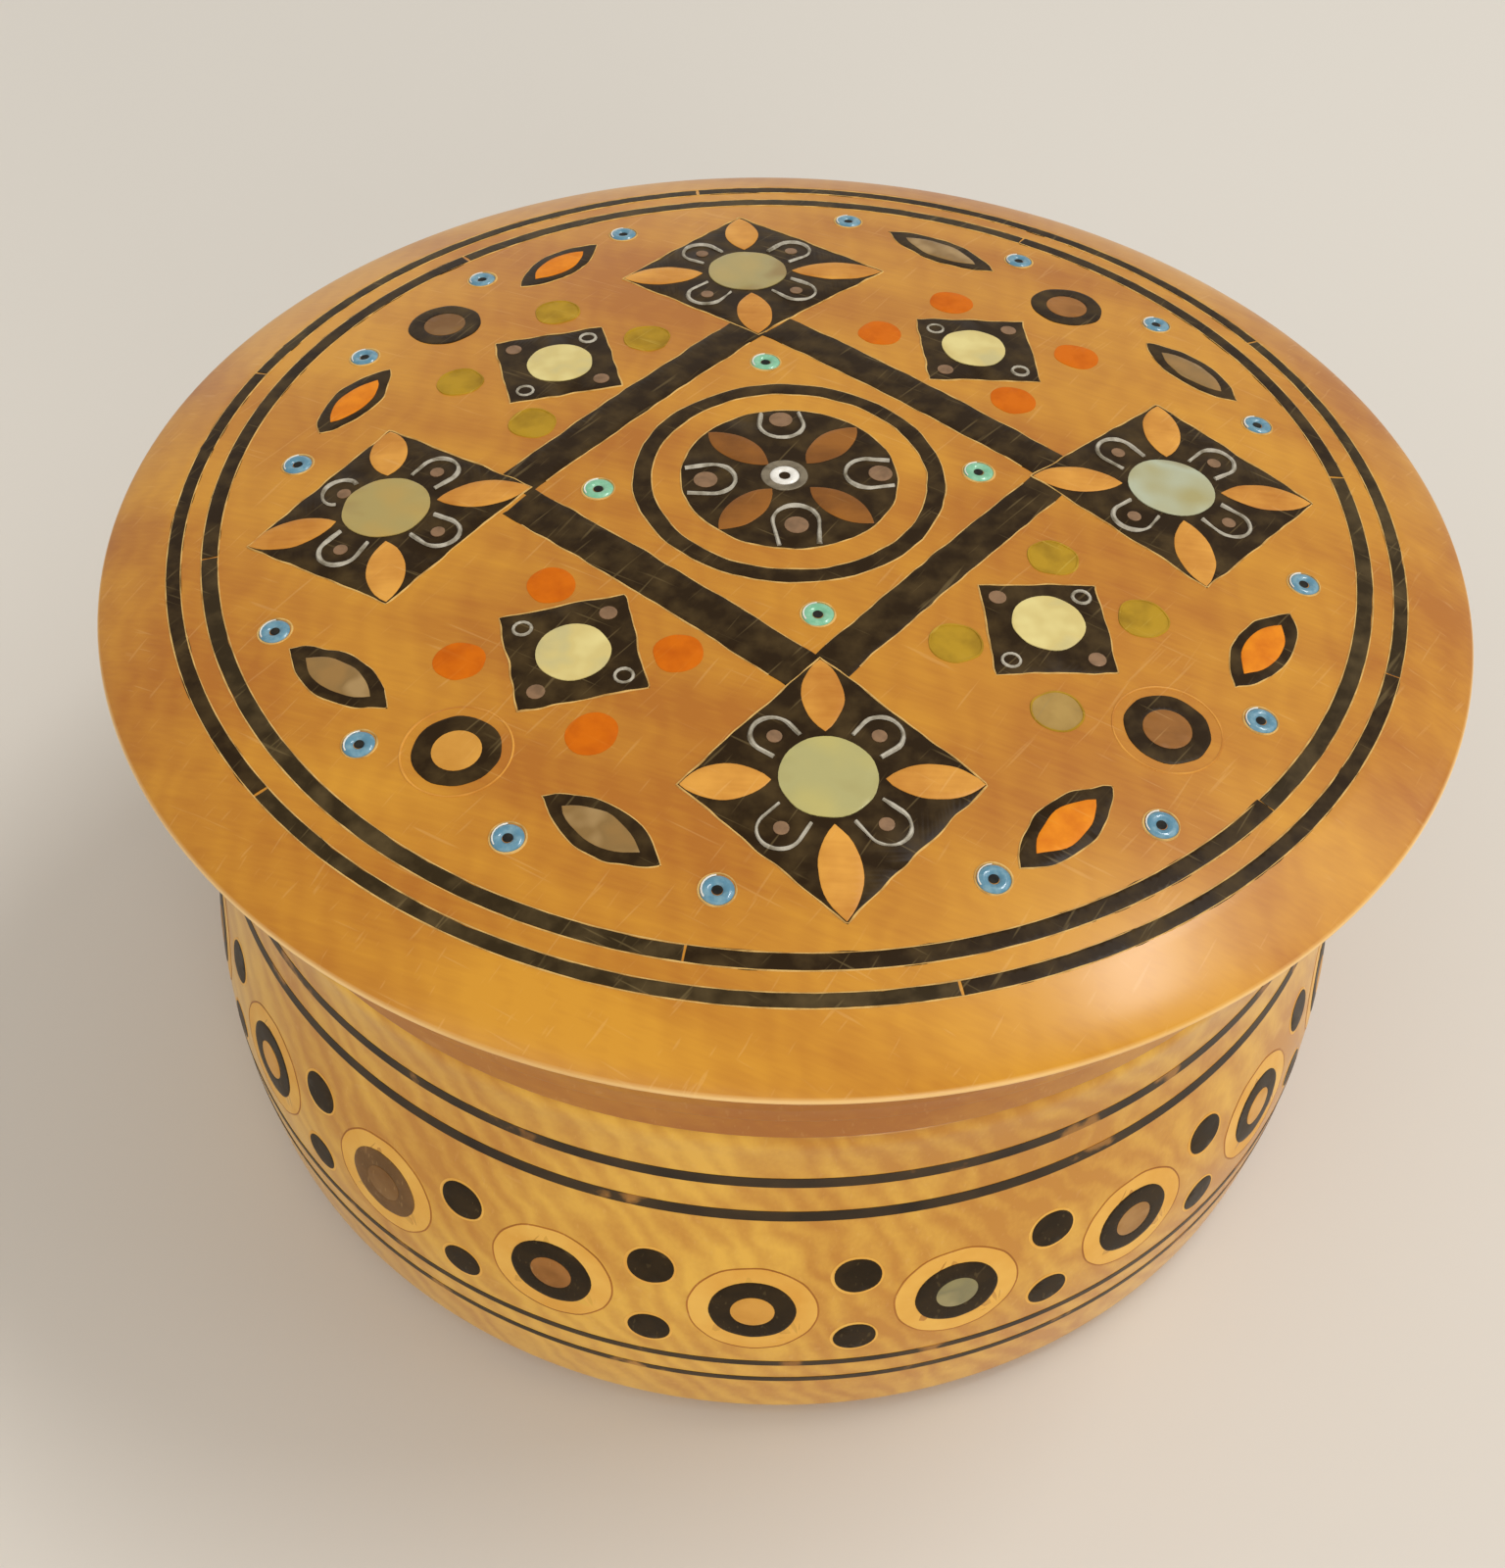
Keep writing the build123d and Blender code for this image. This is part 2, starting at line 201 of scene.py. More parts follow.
figure.links.new(maths(figure, "MULTIPLY", fibre, -1.0), f_out["Height"])
figure.links.new(patch, f_out["Patch"])

# %% [markdown]
# Years of handling leave fine light scratches in all directions. Noise that is stretched very
# long and cut at a high value gives short straight hairlines. Three turned copies cross.

# %% Group: hairline scratches
scratches, s_in, s_out = new_tree(
    "hairline scratches", "ShaderNodeTree", [("Amount", "Float", 0.5)], [("Mask", "Float")],
)
place = object_place(scratches)
lines = []
for turn_angle, offset in ((0.5, 0.0), (-0.9, 3.1), (2.1, 7.7)):
    askew = mapped(scratches, place, rotation=(0, 0, turn_angle), location=(offset, offset, offset))
    hair = cloud(scratches, mapped(scratches, askew, scale=(120, 2600, 900)), 1.0, 1.0)
    lines.append(between(scratches, hair, 0.70, 0.76))
crossed = maths(scratches, "MAXIMUM", maths(scratches, "MAXIMUM", lines[0], lines[1]), lines[2])
scratches.links.new(maths(scratches, "MULTIPLY", crossed, s_in["Amount"]), s_out["Mask"])


# %% [markdown]
# A material is then a Principled shader with the groups in front of it. What is the same all
# over, such as the varnish coat, is set on the shader's own sockets.


# %% Wood materials
def start_material(name):
    """An empty material: its tree and its Principled shader."""
    material = bpy.data.materials.new(name)
    material.use_nodes = True
    tree = material.node_tree
    return material, tree, tree.nodes["Principled BSDF"]


def use_group(tree, group, values):
    """Place a shared node group in a material, with this material's own values."""
    placed = tree.nodes.new("ShaderNodeGroup")
    placed.node_tree = group
    fill(tree, placed.inputs, values)
    return placed.outputs


def wood_material(
    name, pale, deep, patch_size=30.0, curl=0.0, fleck=0.3, grain_turn=0.0, rough=0.36, worn=0.12, worn_edge=0.0,
    varnish=0.0,
):
    """Varnished wood from the shared groups."""
    material, tree, shader = start_material(name)
    wood = use_group(
        tree, figure,
        {
            "Pale": colour(*pale), "Deep": colour(*deep), "Grain Turn": grain_turn, "Patch Size": patch_size,
            "Curl": curl, "Fleck": fleck,
        },
    )
    hair = use_group(tree, scratches, {"Amount": worn})
    shown = mix_colour(tree, hair["Mask"], wood["Color"], colour(238, 196, 128))
    # Painted light round the lid's arris, at this height in mm: painted shade below it, under the overhang, and a
    # pale painted highlight along it.
    if worn_edge:
        height = node(tree, "SeparateXYZ", {0: object_place(tree)}).outputs[2]
        # Painted shade: everything below the arris is darkened a little.
        painted_cove_shade = between(tree, height, (worn_edge - 0.9) * MM, (worn_edge - 0.3) * MM, 0.25, 0.0)
        shown = mix_colour(tree, painted_cove_shade, shown, colour(150, 86, 24))
        # Painted highlight along the arris, broken in patches.
        apart = maths(tree, "ABSOLUTE", maths(tree, "SUBTRACT", height, worn_edge * MM))
        painted_arris_highlight = maths(
            tree, "MULTIPLY", between(tree, apart, 0.2 * MM, 0.45 * MM, 1.5, 0.0), wood["Patch"], clamp=True,
        )
        shown = mix_colour(tree, painted_arris_highlight, shown, colour(246, 206, 138))
    height = maths(tree, "ADD", wood["Height"], maths(tree, "MULTIPLY", hair["Mask"], -1.5))
    relief = {"Strength": 0.25, "Distance": 0.02 * MM, "Height": height}
    settings = {
        "Base Color": shown, "Roughness": between(tree, wood["Patch"], 0.3, 0.7, rough - 0.06, rough + 0.08),
        "Specular IOR Level": 0.2, "Coat Weight": varnish, "Coat Roughness": 0.2,
        "Normal": made(tree, "Bump", relief),
    }
    fill(tree, shader.inputs, settings)
    return material


# The lid's wood carries painted shade under its arris and a painted highlight along it.
lid_wood = wood_material(
    "lid wood", (205, 143, 36), (172, 104, 21), 34.0, 0.14, 0.5, radians(20), worn_edge=57.75, varnish=0.4,
)
bowl_wood = wood_material(
    "bowl wood", (226, 174, 66), (192, 130, 42), 26.0, 0.4, 0.4, radians(75), worn=0.08, varnish=0.5,
)
inside_wood = wood_material("inside wood", (206, 150, 74), (170, 112, 48), 30.0, 0.1, 0.5, rough=0.55)
petal_wood = wood_material("petal wood", (220, 157, 66), (184, 118, 40), 200.0, 0.0, 0.5, worn=0.15)
brown_petal_wood = wood_material("brown petal wood", (148, 92, 30), (118, 70, 20), 260.0, 0.0, 0.4)
light_plug_wood = wood_material("light plug wood", (212, 154, 66), (192, 132, 48), 260.0, 0.0, 0.3)
brown_plug_wood = wood_material("brown plug wood", (158, 104, 46), (132, 84, 32), 300.0, 0.0, 0.4)
copper_plug_wood = wood_material("copper plug wood", (172, 128, 72), (150, 106, 54), 300.0, 0.0, 0.4)
grey_plug_wood = wood_material("grey plug wood", (134, 98, 52), (118, 80, 38), 300.0, 0.0, 0.4)
faded_ring_wood = wood_material("faded ring wood", (120, 84, 42), (98, 68, 32), 300.0, 0.0, 0.4)
pale_band_wood = wood_material("pale band wood", (232, 180, 84), (220, 160, 66), 220.0, 0.0, 0.3)
band_line_wood = wood_material("band line wood", (176, 112, 40), (150, 90, 30), 220.0, 0.0, 0.3)

# %% [markdown]
# ## Turning the lid and the bowl
# A woodturner cuts a profile while the work spins. Here the profile is a line of points in the
# X-Z plane and the Screw modifier spins it. The curves are the same ones as in the CAD model.
# Sharp corners get a small radius, because sandpaper and hands have rounded them.


# %% Profile helpers
def bow(points, count=24):
    """Points on a Bezier curve with 3 or 4 control points, without its first point."""
    found = []
    for i in range(1, count + 1):
        t = i / count
        rest = [Vector(p) for p in points]
        while len(rest) > 1:
            rest = [a.lerp(b, t) for a, b in zip(rest, rest[1:])]
        found.append(tuple(rest[0]))
    found[-1] = tuple(points[-1])
    return found


def eased(points, corners):
    """Round chosen corners of a profile. corners maps a point's number to its radius."""
    radii = {points[i]: radius for i, radius in corners.items()}
    kept = [
        p for p in points if p in radii or all(hypot(p[0] - c[0], p[1] - c[1]) > r * 1.1 for c, r in radii.items())
    ]
    out = []
    for i, point in enumerate(kept):
        if point not in radii:
            out.append(point)
            continue
        here = Vector(point)
        before = (Vector(kept[i - 1]) - here).normalized() * radii[point]
        after = (Vector(kept[i + 1]) - here).normalized() * radii[point]
        out += [tuple(here + before)] + bow([here + before, here, here + after], 6)
    return out


def turned(name, profile, material):
    """Spin a closed profile, in mm, about the Z axis."""
    mesh = bpy.data.meshes.new(name)
    points = [(r * MM, 0, z * MM) for r, z in profile]
    mesh.from_pydata(points, [(i, i + 1) for i in range(len(points) - 1)], [])
    piece = new_object(name, mesh)
    screw = piece.modifiers.new("turn", "SCREW")
    screw.steps = screw.render_steps = 256
    screw.use_merge_vertices = True
    screw.merge_threshold = 1e-6
    return settle(piece, material)


def settle(piece, material=None):
    """Turn a piece's modifiers into a plain closed mesh with outward faces."""
    bpy.context.view_layer.update()
    depsgraph = bpy.context.evaluated_depsgraph_get()
    mesh = bpy.data.meshes.new_from_object(piece.evaluated_get(depsgraph))
    piece.modifiers.clear()
    piece.data = mesh
    work = bmesh.new()
    work.from_mesh(mesh)
    bmesh.ops.remove_doubles(work, verts=work.verts, dist=2e-7)
    bmesh.ops.recalc_face_normals(work, faces=work.faces)
    work.to_mesh(mesh)
    work.free()
    mesh.shade_smooth()
    mesh.set_sharp_from_angle(angle=radians(32))
    if material:
        mesh.materials.clear()
        mesh.materials.append(material)
    mesh.name = piece.name
    return piece


def soften(piece, edge):
    """Round a piece's sharp edges by this width in mm."""
    bevel = piece.modifiers.new("soft edge", "BEVEL")
    bevel.width = edge * MM
    bevel.segments = 2
    bevel.limit_method = "ANGLE"
    bevel.angle_limit = radians(50)
    return settle(piece)


def line_inside(piece, bottom, top, radius):
    """Give the faces of a hollow, between two heights and inside a radius in mm, the inside wood."""
    piece.data.materials.append(inside_wood)
    for face in piece.data.polygons:
        x, y, z = face.center / MM
        if bottom < z < top and hypot(x, y) < radius:
            face.material_index = 1


def finish_piece(piece, body, slot, *nodes):
    """Tie a finished piece to its body and hide the CAD nodes that it stands for. The slot is not used."""
    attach(piece, body)
    if nodes:
        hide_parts(*nodes)
    print(f"{piece.name}: {len(piece.data.polygons)} faces")
    return piece


# %% The lid's body
crown = 64.5
dome_fall = 3.5 / 50.0**2
shoulder = (54.0, crown - dome_fall * 54.0**2)
arris = (60.0, 57.7)
cove_foot = (53.8, 47.4)
lid_profile = (
    [(0, crown)] + bow(
        [(0, crown), (27.0, crown), shoulder], 40,
    ) + bow([shoulder, (60.4, 58.3), arris], 20) + bow([arris, (56.0, 55.5), cove_foot], 28)
)
lid_profile += [(53.8, 46.2), (53.3, 45.7), (53.3, 43.1), (48.7, 43.1), (48.7, 39.1), (45.7, 39.1), (45.7, 54.0)]
last = len(lid_profile) - 1
lid_profile += [(42.2, 57.5), (0, 57.5)]
lid_corners = {
    lid_profile.index(arris): 0.35, last - 6: 0.3, last - 5: 0.3, last - 4: 0.3, last - 2: 0.4, last - 1: 0.4,
}
lid_body = turned("lid_body", eased(lid_profile, lid_corners), lid_wood)
line_inside(lid_body, 0, 57.51, 48.8)
finish_piece(lid_body, "lid", "box_wood", "lid")

# %% The bowl's body
bowl_side = [(53.3, 43.1), (51.5, 28.8), (59.0, 24.8), (55.5, 2.2)]
bowl_profile = (
    [(0, 0), (52.0, 0), (55.5, 2.2)] + bow(bowl_side[::-1], 60) + [(49.0, 43.1), (49.0, 14.0)] + bow(
        [(49.0, 14.0), (49.0, 5.0), (40.0, 5.0)], 16,
    ) + [(0, 5.0)]
)
bowl_corners = {1: 0.5, 2: 0.5, 62: 2.0, 63: 0.35}
bowl_body = turned("bowl_body", eased(bowl_profile, bowl_corners), bowl_wood)
line_inside(bowl_body, 4.9, 60, 49.1)
finish_piece(bowl_body, "bowl", "box_wood", "bowl")

# %% [markdown]
# ## Letting pieces into the dome
# Every inlaid piece starts as a flat outline, as the maker would draw it on a sheet. One
# Geometry Nodes tree cuts the sheet to that outline, gives it its thickness and lets it down
# on to the dome, so that a hundred pieces share one rule. The dome is a shallow parabola:
# its height falls with the square of the distance from the axis.

# %% Tree: let into the dome
DOME_FALL = dome_fall / MM
let_in, l_in, l_out = new_tree(
    "let into the dome", "GeometryNodeTree",
    [
        ("Outlines", "Geometry"), ("Depth", "Float", 1.0 * MM), ("Proud", "Float", 0.04 * MM),
        ("Follow Dome", "Float", 1.0), ("Material", "Material"),
    ],
    [("Pieces", "Geometry")],
)
curves = made(let_in, "MeshToCurve", {"Mesh": l_in["Outlines"]})
sheet = made(let_in, "FillCurve", {"Curve": curves})
sheet = made(let_in, "SubdivideMesh", {"Mesh": sheet, "Level": 2})
thickness = maths(let_in, "ADD", l_in["Depth"], l_in["Proud"])
block = node(
    let_in, "ExtrudeMesh", {"Mesh": sheet, "Offset": (0, 0, 1), "Offset Scale": thickness, "Individual": False},
).outputs["Mesh"]
underside = made(let_in, "FlipFaces", {"Mesh": sheet})
both = node(let_in, "JoinGeometry")
let_in.links.new(underside, both.inputs[0])
let_in.links.new(block, both.inputs[0])
solid = made(let_in, "MergeByDistance", {"Geometry": both.outputs[0], "Distance": 1e-7})


def dome_height_nodes(tree, position):
    """The dome's height over a point, as an output socket in metres."""
    apart = node(tree, "ShaderNodeSeparateXYZ", {0: position}).outputs
    square = maths(tree, "ADD", maths(tree, "POWER", apart[0], 2.0), maths(tree, "POWER", apart[1], 2.0))
    return maths(tree, "SUBTRACT", crown * MM, maths(tree, "MULTIPLY", square, DOME_FALL)), apart


def raised(tree, points, above):
    """Points lifted to the dome and a height above it, and their flat positions' X, Y and Z."""
    surface, apart = dome_height_nodes(tree, made(tree, "InputPosition"))
    level = maths(tree, "ADD", surface, above)
    where = made(tree, "ShaderNodeCombineXYZ", {0: apart[0], 1: apart[1], 2: level})
    return made(tree, "SetPosition", {"Geometry": points, "Position": where}), apart


surface, apart = dome_height_nodes(let_in, made(let_in, "InputPosition"))
lift = maths(let_in, "MULTIPLY", surface, l_in["Follow Dome"])
height = maths(let_in, "ADD", apart[2], maths(let_in, "SUBTRACT", lift, l_in["Depth"]))
where = made(let_in, "ShaderNodeCombineXYZ", {0: apart[0], 1: apart[1], 2: height})
placed = made(let_in, "SetPosition", {"Geometry": solid, "Position": where})
dressed(let_in, placed, l_in["Material"], l_out["Pieces"])

# %% [markdown]
# Threads are the other thing that follows the dome: the bent silver wires, and the pale line
# of glue that shows round each piece. A second tree lays a thin rod along a drawn line. Noise
# thickens and thins the rod, and where it is thinnest the line seems to break off.

# %% Tree: laid along the dome
thread, t_in, t_out = new_tree(
    "laid along the dome", "GeometryNodeTree",
    [
        ("Lines", "Geometry"), ("Radius", "Float", 0.1 * MM), ("Height", "Float", 0.0), ("Uneven", "Float", 0.5),
        ("Seed", "Float", 0.0), ("Material", "Material"),
    ],
    [("Rods", "Geometry")],
)
path = made(thread, "MeshToCurve", {"Mesh": t_in["Lines"]})
path = made(thread, "ResampleCurve", {"Curve": path, "Length": 0.35 * MM}, mode="LENGTH")
path = raised(thread, path, t_in["Height"])[0]
position = made(thread, "InputPosition")
rough_noise = made(
    thread, "ShaderNodeTexNoise", {"Vector": position, "W": t_in["Seed"], "Scale": 420.0}, noise_dimensions="4D",
)
spread = maths(thread, "MULTIPLY", maths(thread, "SUBTRACT", rough_noise, 0.5), t_in["Uneven"])
thick = maths(thread, "MULTIPLY", t_in["Radius"], maths(thread, "ADD", 1.0, maths(thread, "MULTIPLY", spread, 4.0)))
thick = maths(thread, "MAXIMUM", thick, 0.01 * MM)
section = made(thread, "CurvePrimitiveCircle", {"Resolution": 6, "Radius": 1.0})
rods = made(thread, "CurveToMesh", {"Curve": path, "Profile Curve": section, "Scale": thick, "Fill Caps": True})
dressed(thread, rods, t_in["Material"], t_out["Rods"])


# %% Running a tree on drawn lines
def drawn(name, lines, closed=True):
    """An object that holds flat lines, in mm, as edges."""
    points, edges = [], []
    for line in lines:
        first = len(points)
        points += [(x * MM, y * MM, 0) for x, y in line]
        edges += [(first + i, first + i + 1) for i in range(len(line) - 1)]
        if closed:
            edges.append((len(points) - 1, first))
    mesh = bpy.data.meshes.new(name)
    mesh.from_pydata(points, edges, [])
    return new_object(name, mesh)


def run_tree(piece, tree, values):
    """Give a piece the tree as a modifier, set its inputs by identifier, and settle it."""
    modifier = piece.modifiers.new(tree.name, "NODES")
    modifier.node_group = tree
    for item in tree.interface.items_tree:
        if item.in_out == "INPUT" and item.name in values:
            modifier[item.identifier] = values[item.name]
    return settle(piece)


def inlay(name, outlines, material, depth, proud, slot, *nodes, edge=0.05):
    """Cut flat outlines, let them into the lid's dome with slightly softened edges, and finish the piece."""
    piece = run_tree(drawn(name, outlines), let_in, {"Depth": depth * MM, "Proud": proud * MM, "Material": material})
    if edge:
        piece = soften(piece, edge)
    finish_piece(piece, "lid", slot, *nodes)


def laid(name, lines, material, radius, height, slot, uneven=0.6, closed=True, seed=0.0):
    """Lay a thin rod of this radius along drawn lines on the lid's dome, and finish the piece."""
    values = {"Radius": radius * MM, "Height": height * MM, "Uneven": uneven, "Seed": seed, "Material": material}
    finish_piece(run_tree(drawn(name, lines, closed), thread, values), "lid", slot)


# %% [markdown]
# ## Outlines cut by hand
# A knife and a fret saw leave edges that wander a little. Each outline is divided into short
# steps and every point is moved along the edge's normal by smooth noise, a twentieth of a
# millimetre or so. The pattern as a whole stands turned by six degrees on the lid.

# %% Outline helpers
PATTERN_TURN = radians(6.05)


def on_lid(points):
    """Turn points from the pattern's own axes to the lid's."""
    return placed_at(0, 0, PATTERN_TURN, points)


def hand_cut(points, wander=0.06, step=0.5, seed=0.0):
    """Divide a closed outline into short steps and let the edge wander."""
    out = []
    for (x0, y0), (x1, y1) in zip(points, points[1:] + points[:1]):
        length = hypot(x1 - x0, y1 - y0)
        count = max(1, round(length / step))
        nx, ny = (y1 - y0) / length, (x0 - x1) / length
        for i in range(count):
            t = i / count
            x, y = x0 + (x1 - x0) * t, y0 + (y1 - y0) * t
            shift = noise.noise(Vector((x * 0.55, y * 0.55, seed + 3.7))) * wander * 2
            out.append((x + nx * shift, y + ny * shift))
    return out


def spot_at(x, y, reach, direction):
    """The spot at a reach from another, in a direction in radians."""
    return x + reach * cos(direction), y + reach * sin(direction)


def disc(x, y, radius, count=40):
    """A round outline."""
    return [spot_at(x, y, radius, 2 * pi * i / count) for i in range(count)]


def placed_at(x, y, direction, points):
    """Points turned to a direction and moved to a spot."""
    c, s = cos(direction), sin(direction)
    return [(x + c * u - s * v, y + s * u + c * v) for u, v in points]


def leaf(x, y, length, width, direction):
    """A pointed oval about its centre, lying in a direction in radians."""
    arc = (length**2 + width**2) / (4 * width)
    count = 14
    upper = []
    for i in range(count + 1):
        u = -length / 2 + length * i / count
        upper.append((u, sqrt(arc**2 - u**2) - arc + width / 2))
    return placed_at(x, y, direction, upper + [(-u, -v) for u, v in upper[1:-1]])


def box_outline(x, y, side_u, side_v, direction):
    """A rectangle about its centre."""
    corners = ((-1, -1), (1, -1), (1, 1), (-1, 1))
    return placed_at(x, y, direction, [(u * side_u / 2, v * side_v / 2) for u, v in corners])


def bent_wire(x, y, direction, legs_at, legs_apart, bend_at, bend):
    """A U of wire that lies in a direction from a spot, with its bend further out or further in."""
    reach = bend if bend_at > legs_at else -bend
    curve = [(bend_at + reach * sin(pi * k / 12), bend * cos(pi * k / 12)) for k in range(13)]
    points = [(legs_at, legs_apart / 2)] + curve + [(legs_at, -legs_apart / 2)]
    return on_lid(placed_at(x, y, direction, points))


def arc_strip(radius, width, start, stop):
    """A strip of a ring between two angles in degrees."""
    count = max(2, round((stop - start) / 1.5))
    angles = [radians(start + (stop - start) * i / count) for i in range(count + 1)]
    outer = [spot_at(0, 0, radius + width / 2, a) for a in angles]
    return outer + [spot_at(0, 0, radius - width / 2, a) for a in reversed(angles)]


# %% [markdown]
# ## Ebony, pearl and the small finishes
# Polished ebony isn't plain black. It is a dark olive-brown, and its sheen under window light is
# painted into its colour as a paler mottle, with some paler worn scratches. Mother-of-pearl is layered,
# so its colour drifts over each disc from cream to green-grey or blue. The composition of the dots is a dull,
# slightly uneven paste.


# %% Materials: ebony and glue
def mottled(name, dark, pale, size, rough, worn=0.2, coat=0.0, metal=0.0, worn_colour=(150, 128, 84)):
    """A polished material with two tones, mixed by noise, and hairline scratches."""
    material, tree, shader = start_material(name)
    mottle = cloud(tree, object_place(tree), size, 6.0)
    tone = between(tree, mottle, 0.42, 0.75)
    hair = use_group(tree, scratches, {"Amount": worn})["Mask"]
    shown = mix_colour(tree, tone, colour(*dark), colour(*pale))
    shown = mix_colour(tree, hair, shown, colour(*worn_colour))
    relief = {"Strength": 0.3, "Distance": 0.01 * MM, "Height": maths(tree, "SUBTRACT", mottle, hair)}
    settings = {
        "Base Color": shown, "Roughness": between(tree, mottle, 0.3, 0.7, rough - 0.06, rough + 0.08),
        "Specular IOR Level": 0.45 if coat or metal else 0.1, "Coat Weight": coat, "Metallic": metal,
        "Normal": made(tree, "Bump", relief),
    }
    fill(tree, shader.inputs, settings)
    return material


# Ebony: the dark tone is its own colour, and the paler mottle tone is painted sheen.
ebony = mottled("ebony", (42, 28, 9), (74, 57, 29), 420.0, 0.34, worn=0.22)
grey_ebony = mottled("grey ebony", (50, 38, 18), (84, 68, 40), 420.0, 0.34, worn=0.22)
bowl_ebony = mottled("bowl ebony", (38, 27, 11), (54, 40, 20), 420.0, 0.36, worn=0.12)
glue = mottled("glue line", (216, 176, 104), (160, 116, 56), 700.0, 0.6, worn=0.0)
silver = mottled(
    "silver wire", (186, 178, 160), (104, 92, 66), 900.0, 0.42, metal=0.15, worn=0.3, worn_colour=(220, 212, 190),
)
collar_metal = mottled("collar metal", (128, 116, 94), (74, 62, 42), 900.0, 0.42, metal=0.15)
pin_metal = mottled("pin metal", (142, 108, 76), (112, 84, 56), 900.0, 0.42, metal=0.2)
orange_paste = mottled("orange paste", (206, 104, 2), (188, 88, 0), 500.0, 0.5, worn=0.12, worn_colour=(216, 140, 50))
olive_paste = mottled("olive paste", (176, 138, 34), (140, 106, 26), 380.0, 0.5, worn=0.3, worn_colour=(206, 176, 84))
grey_paste = mottled("grey paste", (172, 140, 78), (150, 118, 62), 380.0, 0.5, worn=0.3)
orange_leaf_paste = mottled(
    "orange leaf paste", (226, 134, 24), (200, 104, 16), 420.0, 0.45, worn=0.2, worn_colour=(240, 180, 90),
)


# %% Materials: mother-of-pearl
def pearl_material(name, tones, size=160.0):
    """Layered shell: three tones that drift, with fine growth lines in the relief."""
    material, tree, shader = start_material(name)
    place = object_place(tree)
    drift = cloud(tree, place, size)
    shown = mix_colour(tree, between(tree, drift, 0.35, 0.52), colour(*tones[0]), colour(*tones[1]))
    shown = mix_colour(tree, between(tree, drift, 0.54, 0.68), shown, colour(*tones[2]))
    growth = {"Vector": place, "Scale": 240.0, "Distortion": 9.0, "Detail": 3.0}
    layers = node(tree, "TexWave", growth).outputs["Fac"]
    relief = {"Strength": 0.12, "Distance": 0.02 * MM, "Height": layers}
    settings = {
        "Base Color": shown, "Roughness": 0.28, "Specular IOR Level": 0.35, "Coat Weight": 0.1,
        "Normal": made(tree, "Bump", relief),
    }
    fill(tree, shader.inputs, settings)
    return material


grey_pearl = pearl_material("grey pearl", ((184, 172, 104), (174, 166, 108), (160, 146, 90)))
blue_pearl = pearl_material("blue pearl", ((166, 156, 104), (176, 180, 152), (150, 134, 86)), 130.0)
brown_pearl = pearl_material("brown pearl", ((178, 148, 78), (168, 148, 86), (150, 120, 62)))
dull_pearl = pearl_material("dull pearl", ((172, 150, 88), (162, 146, 92), (146, 122, 70)))
cream_pearl = pearl_material("cream pearl", ((222, 206, 136), (208, 188, 118), (196, 182, 124)), 260.0)
leaf_pearl = pearl_material("leaf pearl", ((150, 112, 56), (136, 104, 54), (164, 132, 82)), 260.0)
plug_pearl = pearl_material("plug pearl", ((140, 130, 84), (126, 118, 80), (150, 138, 92)), 300.0)

# %% [markdown]
# ## The two rings and the frame
# The rings are pieced from bent strips. Their ends butt with a hair of glue between them, and
# the strips don't all have quite the same width. The frame's four bars run between the rosettes.

# %% Rings and bars
ring_strips = {
    "inner_ring": (50.0, 1.45, (8, 62, 131, 190, 262, 318)),
    "outer_ring": (53.1, 1.25, (32, 101, 160, 221, 284, 340)),
}
for ring_name, (radius, width, joints) in ring_strips.items():
    dark_strips, grey_strips = [], []
    for i, (start, stop) in enumerate(zip(joints, joints[1:] + (joints[0] + 360,))):
        strip = arc_strip(radius, width * (1 + 0.05 * (-1) ** i), start + 0.1, stop - 0.1)
        (grey_strips if i % 2 else dark_strips).append(hand_cut(strip, 0.07, 0.7, seed=radius))
    inlay(f"{ring_name}_strips", dark_strips, ebony, 0.8, 0.035, "ebony", ring_name, edge=0.03)
    inlay(f"{ring_name}_grey_strips", grey_strips, grey_ebony, 0.8, 0.035, "ebony", ring_name, edge=0.03)
    edges = [[spot_at(0, 0, radius + side * width / 2, radians(a)) for a in range(360)] for side in (-1, 1)]
    laid(f"{ring_name}_glue", edges, glue, 0.06, 0.0, "box_wood", uneven=0.55, seed=radius)

bar_edges = {
    "front_left": (225, 15.07, 19.17), "front_right": (315, 15.12, 18.57), "back_right": (45, 15.57, 19.58),
    "back_left": (135, 16.08, 19.85),
}
BAR_LENGTH, BAR_STEP = 32.2, 0.6
bar_sides = []
for corner, (angle, inside, outside) in bar_edges.items():
    centre = spot_at(0, 0, (inside + outside) / 2, radians(angle))
    bar = on_lid(
        hand_cut(box_outline(*centre, outside - inside, BAR_LENGTH, radians(angle)), 0.08, BAR_STEP, seed=angle)
    )
    inlay(f"bar_{corner}", [bar], ebony, 1.6, 0.03, "ebony", f"frame_bar_{corner}")
    half = len(bar) // 2
    long_side = round(BAR_LENGTH / BAR_STEP)
    bar_sides += [bar[first + half - long_side + 4 : first + half - 3] for first in (0, half)]
laid("bar_glue", bar_sides, glue, 0.06, 0.0, "box_wood", closed=False)

# %% [markdown]
# ## The rosettes
# Each rosette is an ebony square on its corner. Four petals of light wood run from a disc of
# mother-of-pearl to the corners. Between them a bent silver wire and a small pin fill each
# side. No two squares are quite alike, so their corners are written one by one.

